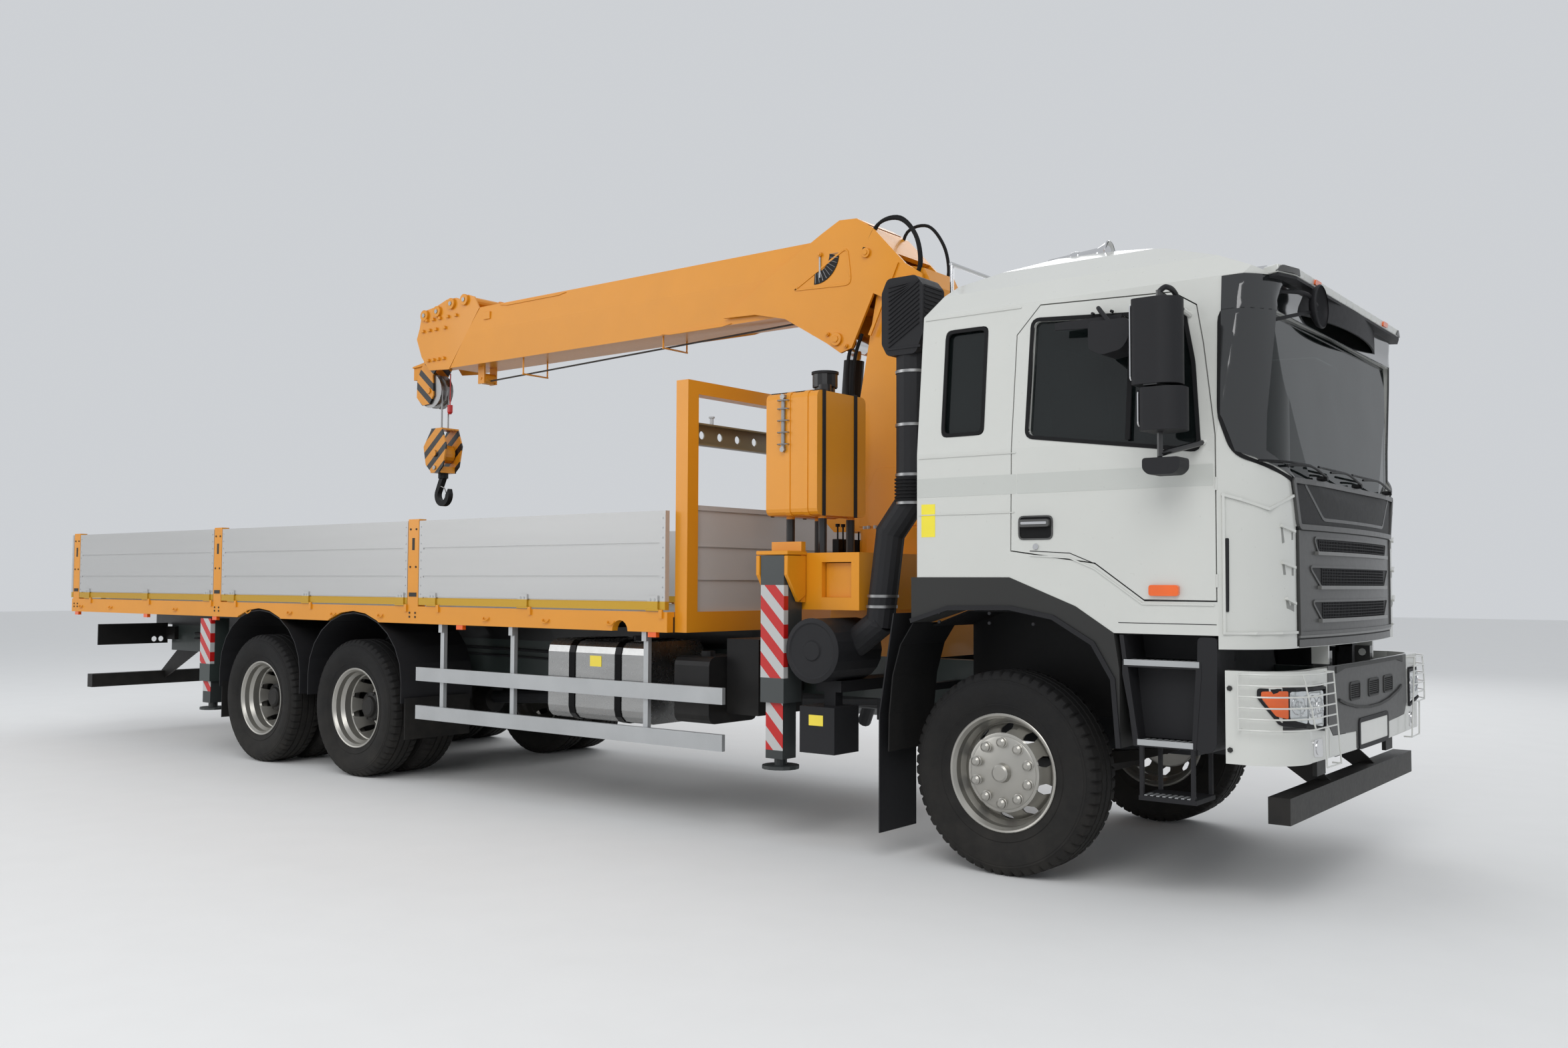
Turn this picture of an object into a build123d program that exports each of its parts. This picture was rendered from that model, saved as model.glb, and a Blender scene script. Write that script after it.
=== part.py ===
from build123d import *
from math import acos, cos, pi, radians, sin, tan
import os

# Truck-mounted crane: a three-axle flatbed truck with a slewing telescopic boom
# behind the cab. Millimetres, +X forward, +Y left, +Z up, ground at Z = 0.
# Every place along the truck is measured from the front axle; at export the whole
# model moves so that the origin lies on the ground under the middle of its length.

# Overall reach
front_reach = 1540.0
rear_reach = 10450.0
half_width = 1245.0

# Running gear
wheelbase = 5600.0
bogie_spread = 1350.0
tyre_radius = 530.0
tyre_width = 300.0
rim_radius = 305.0
rim_width = 244.0
bead_radius = 287.5
bead_gap = 0.5
front_track_half = 1010.0
outer_dual_y = 1095.0
dual_spacing = 350.0
kingpin_y = 880.0
axle_z = tyre_radius
hand_holes = 10
hand_hole_radius = 26.0
hub_clearance = 0.5
running_gap = 5.0
slide_gap = 0.5
seat_gap = 0.3

# Chassis frame
rail_outer_y = 430.0
rail_flange = 80.0
rail_wall = 9.0
rail_bottom = 800.0
rail_top = 1060.0
frame_front = 1150.0
frame_rear = -9990.0

# Load bed
bed_front = -2268.0
bed_rear = -10400.0
bed_half_width = 1250.0
bed_bottom = 1201.0
bed_floor_top = 1328.0
floor_thickness = 30.0
side_beam_width = 50.0
post_width = 125.0
post_depth = 65.0
post_fronts = (-4782.0, -7562.0, -10252.0)
post_top = 1975.0
panel_bottom = 1339.0
panel_top = 1962.0
panel_thickness = 37.0
panel_gap = 7.0
hinge_radius = 7.0
panel_hinge_z = 1338.0
mudguard_half = 620.0
mudguard_top = 1271.0
mudguard_wall = 8.0

# Headboard
headboard_rear = -2267.0
headboard_depth = 100.0
headboard_half = 1180.0
headboard_top = 2785.0

# Cab
cab_rear = -443.0
cab_bottom = 1546.0
cab_front = 1480.0
cab_sill = 1277.0
cab_front_bottom = 1215.0
cab_wall = 55.0
cab_floor = 1605.0
glass_inset = 22.0
glass_thickness = 6.0
door_gap = 3.0
pane_gap = 0.4
cab_pivot_x = 1400.0
cab_pivot_z = 1150.0
pivot_pin_radius = 20.0
lug_y = (402.0, 425.0)

# Crane
slew_x = -1280.0
base_bottom = rail_top + seat_gap
base_housing_bottom = 1357.0
base_housing_top = 1690.0
base_front = -950.0
base_rear = -1600.0
housing_half = 1060.0
beam_size = 200.0
beam_z = 1530.0
beam_right_x = -1440.0
beam_left_x = -1110.0
leg_size = 172.0
leg_y = 1155.0
leg_bottom = 816.0
leg_top = 1673.0
leg_wall = 18.0
inner_leg_size = 126.0
foot_z = 430.0
foot_radius = 110.0
rear_jack_x = -7820.0
rear_jack_foot_z = 380.0
turntable_top = 1790.0
column_half = 180.0
hinge_x = -1150.0
hinge_z = 3420.0
luff_pin_x = -1720.0
luff_pin_z = 3129.0
luff_foot_x = -1812.0
luff_foot_z = 1980.0
barrel_radius = 70.0
rod_radius = 45.0
boom_bottom = 3345.0
boom_top = 3822.0
boom_half = 190.0
boom_wall = 9.0
section_step = 18.0
boom_root_x = -1570.0
winch_x = -1900.0
winch_z = 3255.0
winch_radius = 80.0
boom_tip_top_x = -5446.0
boom_tip_bottom_x = -5835.0
root_plate_inner = 196.0
root_plate_outer = 216.0
sheave_x = -6250.0
sheave_z = 3195.0
sheave_radius = 150.0
block_x = -6140.0
block_top = 2856.0
block_bottom = 2465.0


# Helpers for simple forms

def block(x0, x1, y0, y1, z0, z1):
    """Box between two corners."""
    centre = Pos((x0 + x1) / 2, (y0 + y1) / 2, (z0 + z1) / 2)
    return centre * Box(abs(x1 - x0), abs(y1 - y0), abs(z1 - z0))


corner_steps = 3


def rounded_corners(points, radius):
    """Closed outline with every corner rounded in a few flat steps."""
    corners = [Vector(*point) for point in points]
    outline = []
    for index, corner in enumerate(corners):
        back = (corners[index - 1] - corner).normalized()
        ahead = (corners[(index + 1) % len(corners)] - corner).normalized()
        half_angle = acos(max(-1.0, min(1.0, back.dot(ahead)))) / 2
        centre = corner + (back + ahead).normalized() * (radius / sin(half_angle))
        start = corner + back * (radius / tan(half_angle)) - centre
        end = corner + ahead * (radius / tan(half_angle)) - centre
        sweep = pi - 2 * half_angle
        for step in range(corner_steps + 1):
            share = step / corner_steps
            weights = (sin((1 - share) * sweep) / sin(sweep), sin(share * sweep) / sin(sweep))
            outline.append(centre + start * weights[0] + end * weights[1])
    return outline


def face_of(points, radius=0.0):
    """Flat face inside a closed outline, its corners rounded by a radius."""
    outline = rounded_corners(points, radius) if radius else points
    return make_face(Polyline(*outline, close=True))


def plate_y(points, y0, y1, radius=0.0):
    """Outline of (x, z) points, thick from y0 to y1."""
    low, high = min(y0, y1), max(y0, y1)
    face = face_of([(x, low, z) for x, z in points], radius)
    return extrude(face, amount=high - low, dir=(0, 1, 0))


def plate_x(points, x0, x1, radius=0.0):
    """Outline of (y, z) points, thick from x0 to x1."""
    low, high = min(x0, x1), max(x0, x1)
    face = face_of([(low, y, z) for y, z in points], radius)
    return extrude(face, amount=high - low, dir=(1, 0, 0))


def plate_z(points, z0, z1, radius=0.0):
    """Outline of (x, y) points, thick from z0 to z1."""
    low, high = min(z0, z1), max(z0, z1)
    face = face_of([(x, y, low) for x, y in points], radius)
    return extrude(face, amount=high - low, dir=(0, 0, 1))


def sides_for(radius):
    """Flat sides of a round form: few on thin bars, so that the model stays light."""
    for least, sides in ((250, 28), (140, 20), (60, 16), (25, 12), (11, 8)):
        if radius >= least:
            return sides
    return 6


def bar(start, end, radius):
    """Round bar between two points, with flat sides inside its radius."""
    a = Vector(*start)
    run = Vector(*end) - a
    plane = Plane(origin=a, z_dir=run.normalized())
    return extrude(plane * RegularPolygon(radius, sides_for(radius)), amount=run.length)


def round_bar(start, end, radius):
    """Truly round bar or bore, for everything that turns."""
    a = Vector(*start)
    run = Vector(*end) - a
    plane = Plane(origin=a, z_dir=run.normalized())
    return extrude(plane * Circle(radius), amount=run.length)


def bore_y(radius, x, z, y0, y1):
    """Truly round bore or pin along Y."""
    return round_bar((x, min(y0, y1), z), (x, max(y0, y1), z), radius)


def bar_y(radius, x, z, y0, y1):
    """Round bar along Y."""
    return bar((x, min(y0, y1), z), (x, max(y0, y1), z), radius)


def bar_x(radius, y, z, x0, x1):
    """Round bar along X."""
    return bar((min(x0, x1), y, z), (max(x0, x1), y, z), radius)


def bar_z(radius, x, y, z0, z1):
    """Round bar along Z."""
    return bar((x, y, min(z0, z1)), (x, y, max(z0, z1)), radius)


def mirrored(shape):
    """The same piece on the other side of the truck."""
    return mirror(shape, about=Plane.XZ)


def both(shape):
    """A piece and its mirror image."""
    return [shape, mirrored(shape)]


def joined(pieces):
    """Pieces fused into one shape."""
    first, *rest = pieces
    return first + rest if rest else first


def save(name, *shapes):
    """Write one named sub-part, moved from the front axle to the model's origin."""
    solids = []
    for shape in shapes:
        solids.extend(shape.solids())
    place = Location((origin_shift, 0, 0))
    moved = [solid.moved(place) for solid in solids]
    result = moved[0] if len(moved) == 1 else Compound(moved)
    export_step(result, f"parts/{name}.step")


origin_shift = (rear_reach - front_reach) / 2
rear_axle_xs = (-wheelbase, -wheelbase - bogie_spread)


# Wheels: profiles hold (radius, distance outward from the tyre's middle plane)

def turned(profile, x, middle_y, sides, centre_z=axle_z):
    """Closed profile turned in flat steps about the axle line, right side of the truck."""
    rings = []
    for index in range(sides):
        angle = 2 * pi * index / sides
        ring = []
        for radius, outward in profile:
            spot = (x + radius * sin(angle), -middle_y - outward, centre_z - radius * cos(angle))
            ring.append(Vector(*spot))
        rings.append(ring)
    count = len(profile)
    faces = []
    for index in range(sides):
        here, following = rings[index], rings[(index + 1) % sides]
        for k in range(count):
            m = (k + 1) % count
            corners = [here[k], here[m]]
            if profile[m][0] > 0:
                corners.append(following[m])
            if profile[k][0] > 0:
                corners.append(following[k])
            if len(corners) > 2:
                faces.append(Face(Wire.make_polygon(corners)))
    solid = Solid(Shell(faces))
    return solid if solid.volume > 0 else Solid(Shell([-face for face in faces]))


def mirror_profile(half):
    """A half profile and its mirror image about the middle plane."""
    return half + [(radius, -outward) for radius, outward in reversed(half)]


tyre_sides = 24
rim_sides = 16
spindle_radius = 45.0
axle_tube_radius = 60.0
drum_depth = 160.0


def tyre(x, middle_y):
    """Tyre with bulged sidewalls and a plain tread band, closed inside."""
    half = tyre_width / 2
    bulge_radius = (rim_radius + tyre_radius) / 2
    bead = bead_radius + bead_gap
    section = [
        (bead, half - 54), (bulge_radius, half), (tyre_radius - 24, half - 22), (tyre_radius, half - 48),
    ]
    return turned(mirror_profile(section), x, middle_y, tyre_sides)


def hole_ring(x, middle_y, low_w, high_w):
    """Cutters for the round hand holes of a disc."""
    circle_radius = 232.0
    cutters = []
    for index in range(hand_holes):
        angle = radians(360 / hand_holes * index)
        centre_x = x + circle_radius * cos(angle)
        centre_z = axle_z + circle_radius * sin(angle)
        cutters.append(bar_y(hand_hole_radius, centre_x, centre_z, -middle_y - high_w, -middle_y - low_w))
    return cutters


def front_wheel():
    """Right front wheel: tyre, and rim with its dished disc, drum and hub cap."""
    lip = rim_width / 2
    section = [
        (rim_radius, lip), (rim_radius - 9, lip), (274, 96), (262, 28), (200, 104), (88, 104),
        (80, 150), (0, 150), (0, -38), (200, -38), (200, 88), (262, 0), (rim_radius - 9, -lip),
        (rim_radius, -lip), (bead_radius, -lip + 22), (bead_radius, lip - 22),
    ]
    rim = turned(section, 0, front_track_half, rim_sides)
    middle = -front_track_half
    room = bore_y(spindle_radius + hub_clearance, 0, axle_z, middle - 80, middle + 40)
    return [tyre(0, front_track_half), rim - hole_ring(0, front_track_half, 0, 130) - room]


def rear_wheel(x):
    """Right pair of rear wheels: two tyres, and two rims bolted back to back on one hub."""
    lip = rim_width / 2
    inner = -dual_spacing
    mount = inner / 2
    section = [
        (rim_radius, lip), (rim_radius - 9, lip), (274, 96), (262, -14), (204, mount + 14),
        (112, mount + 14), (100, 12), (0, 12), (0, mount - drum_depth), (205, mount - drum_depth),
        (205, mount - 20), (262, inner + 14), (rim_radius - 9, inner - lip), (rim_radius, inner - lip),
        (bead_radius, inner - lip + 22), (bead_radius, inner + lip - 22), (rim_radius, inner + lip),
        (272, inner + 60), (214, mount - 6), (214, mount + 6), (272, -60), (rim_radius, -lip),
        (bead_radius, -lip + 22), (bead_radius, lip - 22),
    ]
    rims = turned(section, x, outer_dual_y, rim_sides)
    middle = -outer_dual_y - mount
    room_radius = axle_tube_radius + hub_clearance
    rims = rims - bore_y(room_radius, x, axle_z, middle - 25, middle + drum_depth + 5)
    return [tyre(x, outer_dual_y), tyre(x, outer_dual_y - dual_spacing), rims]


# Steering knuckle: yoke round the axle's eye, with the spindle

axle_eye_half_height = 55.0
knuckle_gap = 0.5


def knuckle():
    """Right steering knuckle."""
    eye_low = axle_z - axle_eye_half_height - knuckle_gap
    eye_high = axle_z + axle_eye_half_height + knuckle_gap
    yoke_thickness = 48
    lower = bar_z(52, 0, -kingpin_y, eye_low - yoke_thickness, eye_low)
    upper = bar_z(52, 0, -kingpin_y, eye_high, eye_high + yoke_thickness)
    web_y = kingpin_y + 62
    web = block(-58, 58, -web_y - 22, -web_y, eye_low - yoke_thickness, eye_high + yoke_thickness)
    ears = []
    for low, high in ((eye_low - yoke_thickness, eye_low), (eye_high, eye_high + yoke_thickness)):
        ears.append(block(-45, 45, -web_y, -kingpin_y, low, high))
    pin = bar_z(22, 0, -kingpin_y, eye_low - 10, eye_high + 10)
    spindle_end = front_track_half + 75
    spindle = bar_y(spindle_radius, 0, axle_z, -spindle_end, -web_y)
    arm = block(-230, -40, -kingpin_y + 10, -kingpin_y + 50, eye_low - 44, eye_low - 14)
    return joined([lower, upper, web, pin, spindle, arm] + ears)


# Chassis

cross_member_xs = (1110, -1850, -2700, -4400, -5100, -7600, -8700, -9940)


def chassis_frame():
    """Two channel rails, cross members and the rear jack beam with its tubes."""
    inner = rail_outer_y - rail_flange
    pieces = []
    channel = block(frame_rear, frame_front, -rail_outer_y, -inner, rail_bottom, rail_top)
    hollow = block(
        frame_rear - 1, frame_front + 1, -rail_outer_y + rail_wall, -inner + 1,
        rail_bottom + rail_wall, rail_top - rail_wall,
    )
    pieces.extend(both(channel - hollow))
    web_y = rail_outer_y - rail_wall
    for x in cross_member_xs:
        pieces.append(block(x - 35, x + 35, -web_y, web_y, rail_bottom + 40, rail_top - 40))
    beam_low = rail_bottom - 170
    pieces.append(block(rear_jack_x - 75, rear_jack_x + 75, -leg_y, leg_y, beam_low, rail_bottom))
    tube_top = 1180
    half = leg_size / 2
    tube = block(
        rear_jack_x - half, rear_jack_x + half, -leg_y - half, -leg_y + half, beam_low, tube_top
    )
    stand_rear, stand_front = cab_rear + 30, cab_rear + 110
    stand_top = cab_bottom - seat_gap
    cab_stand = block(stand_rear, stand_front, -470, -rail_outer_y + 20, rail_top - 60, stand_top)
    cab_bar = block(stand_rear, stand_front, -470, 470, stand_top - 70, stand_top)
    pieces.append(cab_bar)
    frame = joined(pieces + both(tube) + both(cab_stand))
    room = inner_leg_size / 2 + slide_gap
    bore = block(
        rear_jack_x - room, rear_jack_x + room, -leg_y - room, -leg_y + room,
        beam_low - 1, tube_top - leg_wall,
    )
    return frame - both(bore)


def rear_jack():
    """Right rear jack leg with its foot."""
    half = inner_leg_size / 2
    leg = block(
        rear_jack_x - half, rear_jack_x + half, -leg_y - half, -leg_y + half,
        rear_jack_foot_z + 60, 1120,
    )
    neck = bar_z(38, rear_jack_x, -leg_y, rear_jack_foot_z + 18, rear_jack_foot_z + 62)
    foot = bar_z(foot_radius, rear_jack_x, -leg_y, rear_jack_foot_z, rear_jack_foot_z + 20)
    return joined([leg, neck, foot])


def leaf_spring(centre_x, half_length, eye_z, middle_z, thickness, y0, y1):
    """Bowed leaf pack, deeper at its middle, seen from the side as two arcs."""
    left, right = centre_x - half_length, centre_x + half_length
    low = min(y0, y1)
    top = ThreePointArc((left, low, eye_z), (centre_x, low, middle_z), (right, low, eye_z))
    bottom = ThreePointArc(
        (right, low, eye_z - 22), (centre_x, low, middle_z - thickness), (left, low, eye_z - 22)
    )
    ends = [
        Line((right, low, eye_z), (right, low, eye_z - 22)),
        Line((left, low, eye_z - 22), (left, low, eye_z)),
    ]
    return extrude(make_face([top, ends[0], bottom, ends[1]]), amount=abs(y1 - y0), dir=(0, 1, 0))


spring_inner = 440.0
spring_outer = 520.0


def front_axle():
    """Dropped beam, its eyes for the kingpins, and the front leaf springs."""
    eye_low = axle_z - axle_eye_half_height
    eye_high = axle_z + axle_eye_half_height
    end_y = kingpin_y - 20
    half_points = [(end_y, eye_low + 5), (end_y, eye_high - 5), (700, eye_high - 15), (560, 505)]
    outline = [(-y, z) for y, z in half_points] + [(y, z) for y, z in reversed(half_points)]
    outline += [(815, eye_low + 5), (560, 405), (-560, 405), (-815, eye_low + 5)]
    beam = plate_x(outline, -45, 45)
    eye = bar_z(46, 0, -kingpin_y, eye_low, eye_high)
    pin_room = round_bar((0, -kingpin_y, eye_low - 1), (0, -kingpin_y, eye_high + 1), 22 + hub_clearance)
    pieces = [beam] + both(eye)
    spring_eye_z = 690
    hanger_x = 760
    for side in (-1, 1):
        y0, y1 = sorted((side * spring_inner, side * spring_outer))
        pieces.append(leaf_spring(0, hanger_x, spring_eye_z, 590, 75, y0, y1))
        pieces.append(block(-70, 70, y0, y1, 480, 530))
        hang0, hang1 = sorted((side * (rail_outer_y - 60), side * spring_outer))
        for end in (-1, 1):
            x = end * hanger_x
            pieces.append(block(x - 40, x + 40, hang0, hang1, spring_eye_z - 30, rail_bottom - seat_gap))
    return joined(pieces) - both(pin_room)


def rear_axles():
    """Two driven axle housings on a balanced leaf pack with its trunnion."""
    pieces = []
    inner_end = outer_dual_y - dual_spacing / 2 - drum_depth - running_gap
    spindle_end = outer_dual_y - dual_spacing / 2 + 20
    for x in rear_axle_xs:
        pieces.append(bar_y(85, x, axle_z, -inner_end, inner_end))
        pieces.append(bar_y(axle_tube_radius, x, axle_z, -spindle_end, spindle_end))
        pieces.append(bar_x(190, 0, axle_z, x - 130, x + 90))
        nose = Plane(origin=(x + 90, 0, axle_z), z_dir=(1, 0, 0)) * RegularPolygon(150, 16)
        pieces.append(extrude(nose, amount=120, taper=20))
    middle = sum(rear_axle_xs) / 2
    for side in (-1, 1):
        y0, y1 = sorted((side * spring_inner, side * spring_outer))
        pack = leaf_spring(middle, bogie_spread / 2 + 70, 650, 740, 110, y0, y1)
        pieces.append(pack)
        for x in rear_axle_xs:
            pieces.append(block(x - 60, x + 60, y0, y1, axle_z, 640))
        bracket = [
            (middle - 190, rail_bottom - seat_gap), (middle + 190, rail_bottom - seat_gap),
            (middle + 80, 380), (middle - 80, 380),
        ]
        b0, b1 = sorted((side * (rail_outer_y - 40), side * (spring_inner + 1)))
        pieces.append(plate_y(bracket, b0, b1))
        pieces.append(block(middle - 90, middle + 90, y0, y1, 520, 660))
    pieces.append(bar_y(45, middle, 430, -rail_outer_y, rail_outer_y))
    return joined(pieces)


def driveline():
    """Engine as one plain block, gearbox, radiator and the propeller shafts."""
    engine = block(-620, 740, -330, 330, 600, 1180)
    gearbox = plate_y([(-620, 620), (-620, 1000), (-1400, 880), (-1400, 640)], -210, 210)
    power = engine + gearbox
    radiator = block(820, 930, -340, 340, 620, 1190)
    front_nose = rear_axle_xs[0] + 213
    shaft = bar((-1400, 0, 760), (front_nose, 0, axle_z + 20), 52)
    link = bar((rear_axle_xs[0] - 130, 0, axle_z), (rear_axle_xs[1] + 210, 0, axle_z), 42)
    mounts = []
    for x in (-400, 520):
        for side in (-1, 1):
            y0, y1 = sorted((side * 330, side * (rail_outer_y - rail_wall - seat_gap)))
            mounts.append(block(x - 40, x + 40, y0, y1, 840, 900))
    radiator_feet = []
    for side in (-1, 1):
        y0, y1 = sorted((side * 340, side * (rail_outer_y - rail_wall - seat_gap)))
        radiator_feet.append(block(850, 900, y0, y1, 840, 900))
    return [joined([power, shaft] + mounts), link, joined([radiator] + radiator_feet)]


# Front of the truck

bumper_low = 697.0
bumper_high = 1120.0
bumper_wall = 48.0
lamp_low = 848.0
lamp_high = 1054.0
lamp_inner = 800.0
lamp_outer = 1180.0


def bumper_plan(inset):
    """Bumper seen from above: bowed front, rounded ends, open towards the rear."""
    rear = 1215.0
    nose = front_reach - inset
    flank = half_width - inset
    corner_x, corner_y = front_reach - 22.0 - inset, half_width - 270.0
    bend = (front_reach - 82.0 - inset * 0.8, flank - 72.0)
    start = (front_reach - 215.0, flank)
    edges = [
        Line((rear, -flank), (start[0], -flank)),
        ThreePointArc((start[0], -flank), (bend[0], -bend[1]), (corner_x, -corner_y)),
        ThreePointArc((corner_x, -corner_y), (nose, 0), (corner_x, corner_y)),
        ThreePointArc((corner_x, corner_y), (bend[0], bend[1]), (start[0], flank)),
        Line((start[0], flank), (rear, flank)),
        Line((rear, flank), (rear, -flank)),
    ]
    return make_face(edges)


def bumper_band(outer_inset, inner_inset, low, high):
    """Wall of the bumper between two insets and two heights."""
    outer = extrude(Pos(0, 0, low) * bumper_plan(outer_inset), amount=high - low, dir=(0, 0, 1))
    inner = extrude(Pos(-1, 0, low - 1) * bumper_plan(inner_inset), amount=high - low + 2, dir=(0, 0, 1))
    return outer - inner


tower_y = (355.0, 401.7)
vent_columns = ((-420.0, -150.0), (-135.0, 135.0), (150.0, 420.0))


def bumper():
    """Wrap-round bumper with air slots, lamp windows and two arms to the frame."""
    shell = bumper_band(0, bumper_wall, bumper_low, bumper_high)
    cutters = []
    for y0, y1 in vent_columns:
        cutters.append(block(front_reach - 140, front_reach + 60, y0, y1, 945, 1012))
    cutters.append(block(front_reach - 17, front_reach + 60, -300, 300, 702, 836))
    window = block(1200, front_reach + 60, -lamp_outer, -lamp_inner, lamp_low, lamp_high)
    cutters.extend(both(window))
    cutters.extend(both(block(front_reach - 140, front_reach + 60, -700, -480, 720, 800)))
    shell = shell - cutters
    arm_front = front_reach - 45
    arm = block(frame_front + seat_gap, arm_front, -rail_outer_y, -rail_outer_y + rail_flange, 840, 1000)
    tower = block(cab_pivot_x - 40, cab_pivot_x + 40, -tower_y[1], -tower_y[0], 990, cab_pivot_z + 35)
    room = bore_y(pivot_pin_radius + seat_gap, cab_pivot_x, cab_pivot_z, -lug_y[1], -tower_y[0] + 10)
    return joined([shell] + both(arm) + both(tower)) - both(room)


marker_xs = (-2400.0, -4300.0, -7667.0, -8900.0, -10300.0)
tail_board_x = -10050.0


def lamps():
    """Headlamp units in the bumper, tail lamps and side markers."""
    gap = 0.5
    pieces = []
    window = block(
        1200, front_reach + 60, -lamp_outer + gap, -lamp_inner - gap, lamp_low + gap, lamp_high - gap
    )
    unit = bumper_band(8, bumper_wall + 40, lamp_low, lamp_high) & window
    pieces.extend(both(unit))
    fog = bumper_band(14, bumper_wall, 720 + gap, 800 - gap)
    fog = fog & block(front_reach - 140, front_reach + 60, -700 + gap, -480 - gap, 700, 820)
    pieces.extend(both(fog))
    tail_x = tail_board_x - seat_gap
    pieces.extend(both(block(tail_x - 45, tail_x, -1080, -640, 905, 1040)))
    marker_top = bed_bottom - seat_gap
    for x in marker_xs:
        pieces.extend(both(block(x - 35, x + 35, -1246, -1216, marker_top - 32, marker_top)))
    return pieces


def underrun_bars():
    """Front and rear underrun bars with their brackets, and the tail lamp board."""
    front_bar = block(1365, 1465, -1130, 1130, 425, 547)
    arm_top = rail_bottom - seat_gap
    front_arm = [(1080, 700), (1080, arm_top), (1150, arm_top), (1440, 547), (1370, 500)]
    pieces = [front_bar]
    pieces.extend(both(plate_y(front_arm, -rail_outer_y + 10, -rail_outer_y + 30)))
    rear_bar = block(-10240, -10140, -1150, 1150, 450, 580)
    rear_arm = [(-9500, arm_top), (-9900, arm_top), (-10230, 570), (-10160, 500)]
    rear = [rear_bar]
    rear.extend(both(plate_y(rear_arm, -rail_outer_y + 10, -rail_outer_y + 30)))
    board = block(tail_board_x, tail_board_x + 12, rail_outer_y + 20, 1150, 871, 1077)
    arm = block(tail_board_x + 12, -9860, rail_outer_y + seat_gap, rail_outer_y + 40, 910, 1040)
    holes = [bar_x(28, y, 890 + 25, tail_board_x - 5, tail_board_x + 20) for y in (520, 590)]
    left_board = (board + arm) - holes
    return [joined(pieces), joined(rear)] + both(left_board)


step_treads = (
    # rear x, front x, low z, high z
    (717.0, 1103.0, 1117.0, 1147.0),
    (782.0, 1070.0, 742.0, 770.0),
    (795.0, 1076.0, 489.0, 511.0),
)


def cab_steps():
    """Boarding steps hung on the frame, right side first."""
    pieces = []
    for rear, front, low, high in step_treads:
        pieces.append(block(rear, front, -1243, -1000, low, high))
    pieces.append(block(735, 1090, -1012, -1000, 742, 1147))
    rear_cheek = [(717, 1147), (717, 1080), (782, 742), (800, 742), (740, 1147)]
    front_cheek = [(1103, 1147), (1103, 1080), (1076, 742), (1055, 742), (1080, 1147)]
    for cheek in (rear_cheek, front_cheek):
        pieces.append(plate_y(cheek, -1243, -1225))
    for x in (800, 1050):
        pieces.append(block(x, x + 18, -1243, -1225, 500, 750))
        pieces.append(block(x, x + 18, -1018, -1000, 500, 750))
    pieces.append(block(880, 960, -1005, -rail_outer_y - seat_gap, 900, 960))
    right = joined(pieces)
    return both(right)


# Gear on the frame's sides

tank_rear, tank_front = -3415.0, -2516.0
tank_outer, tank_inner = 1190.0, 620.0
tank_low, tank_high = 603.0, 1131.0
tank_corner = 85.0
strap_xs = (-3180.0, -2750.0)
strap_rise = 6.0


def rounded_tank(x0, x1, y0, y1, z0, z1, radius):
    """Tank with rounded long edges, lying along X."""
    outline = [(y0, z0), (y1, z0), (y1, z1), (y0, z1)]
    return plate_x(outline, x0, x1, radius)


def fuel_tank():
    """Fuel tank on the right with straps, filler cap and brackets."""
    tank = rounded_tank(tank_rear, tank_front, -tank_outer, -tank_inner, tank_low, tank_high, tank_corner)
    pieces = [tank]
    for x in strap_xs:
        outer, inner = -tank_outer - strap_rise, -tank_inner + strap_rise
        low, high = tank_low - strap_rise, tank_high + strap_rise
        band = rounded_tank(x - 28, x + 28, outer, inner, low, high, tank_corner + strap_rise)
        pieces.append(band)
        pieces.append(block(x - 35, x + 35, -tank_inner, -rail_outer_y - seat_gap, 640, 1040))
    pieces.append(bar_z(62, -2680, -1040, tank_high - 5, tank_high + 32))
    return joined(pieces)


def service_boxes():
    """Urea tank and tool box on the right, battery box on the left."""
    urea = rounded_tank(-2294, -2006, -1150, -680, 640, 1053, 55)
    cap = bar_z(45, -2120, -1030, 1045, 1085)
    bracket = block(-2190, -2110, -680, -rail_outer_y - seat_gap, 700, 900)
    box_right = block(-1990, -1736, -1000, -560, 700, 1165)
    foot = block(-1900, -1820, -560, -rail_outer_y - seat_gap, 820, 900)
    battery = block(-3350, -2560, 640, 1180, 650, 1080)
    shelf = block(-3150, -2750, rail_outer_y + seat_gap, 640, 820, 900)
    return [joined([urea, cap, bracket]), joined([box_right, foot]), joined([battery, shelf])]


def air_intake():
    """Snorkel behind the cab down to the drum air cleaner on the right."""
    cleaner = bar_y(183, -1150, 1127, -1235, -800)
    shelf = block(-1240, -1060, -1080, -rail_outer_y - seat_gap, 885, 950)
    dryer = block(-1267, -1021, -1200, -960, 542, 807)
    hanger = block(-1180, -1100, -1080, -1010, 800, 900)
    pipe_x, pipe_y = -625, -1000
    pipe_overrun = 22
    upper = bar_z(95, pipe_x, pipe_y, 1960, 2800)
    route = [
        (pipe_x, pipe_y, 1990), (-775, pipe_y, 1800), (-845, pipe_y, 1290), (-1040, pipe_y, 1150),
    ]
    pieces = [cleaner, shelf, dryer, hanger, upper]
    for start, end in zip(route, route[1:]):
        reach = (Vector(*end) - Vector(*start)).normalized() * pipe_overrun
        pieces.append(bar(tuple(Vector(*start) - reach), tuple(Vector(*end) + reach), 84))
    head_outline = [
        (-732, 2790), (-545, 2790), (-498, 2900), (-498, 3170), (-545, 3230), (-732, 3230),
        (-770, 3150), (-770, 2860),
    ]
    head = plate_y(head_outline, -1100, -870, 35)
    pieces.append(head)
    return joined(pieces)


guard_rear, guard_front = -4811.0, -1825.0
guard_rails = ((780.0, 880.0), (500.0, 600.0))
guard_post_xs = (-4538.0, -3764.0, -2485.0)


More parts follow.
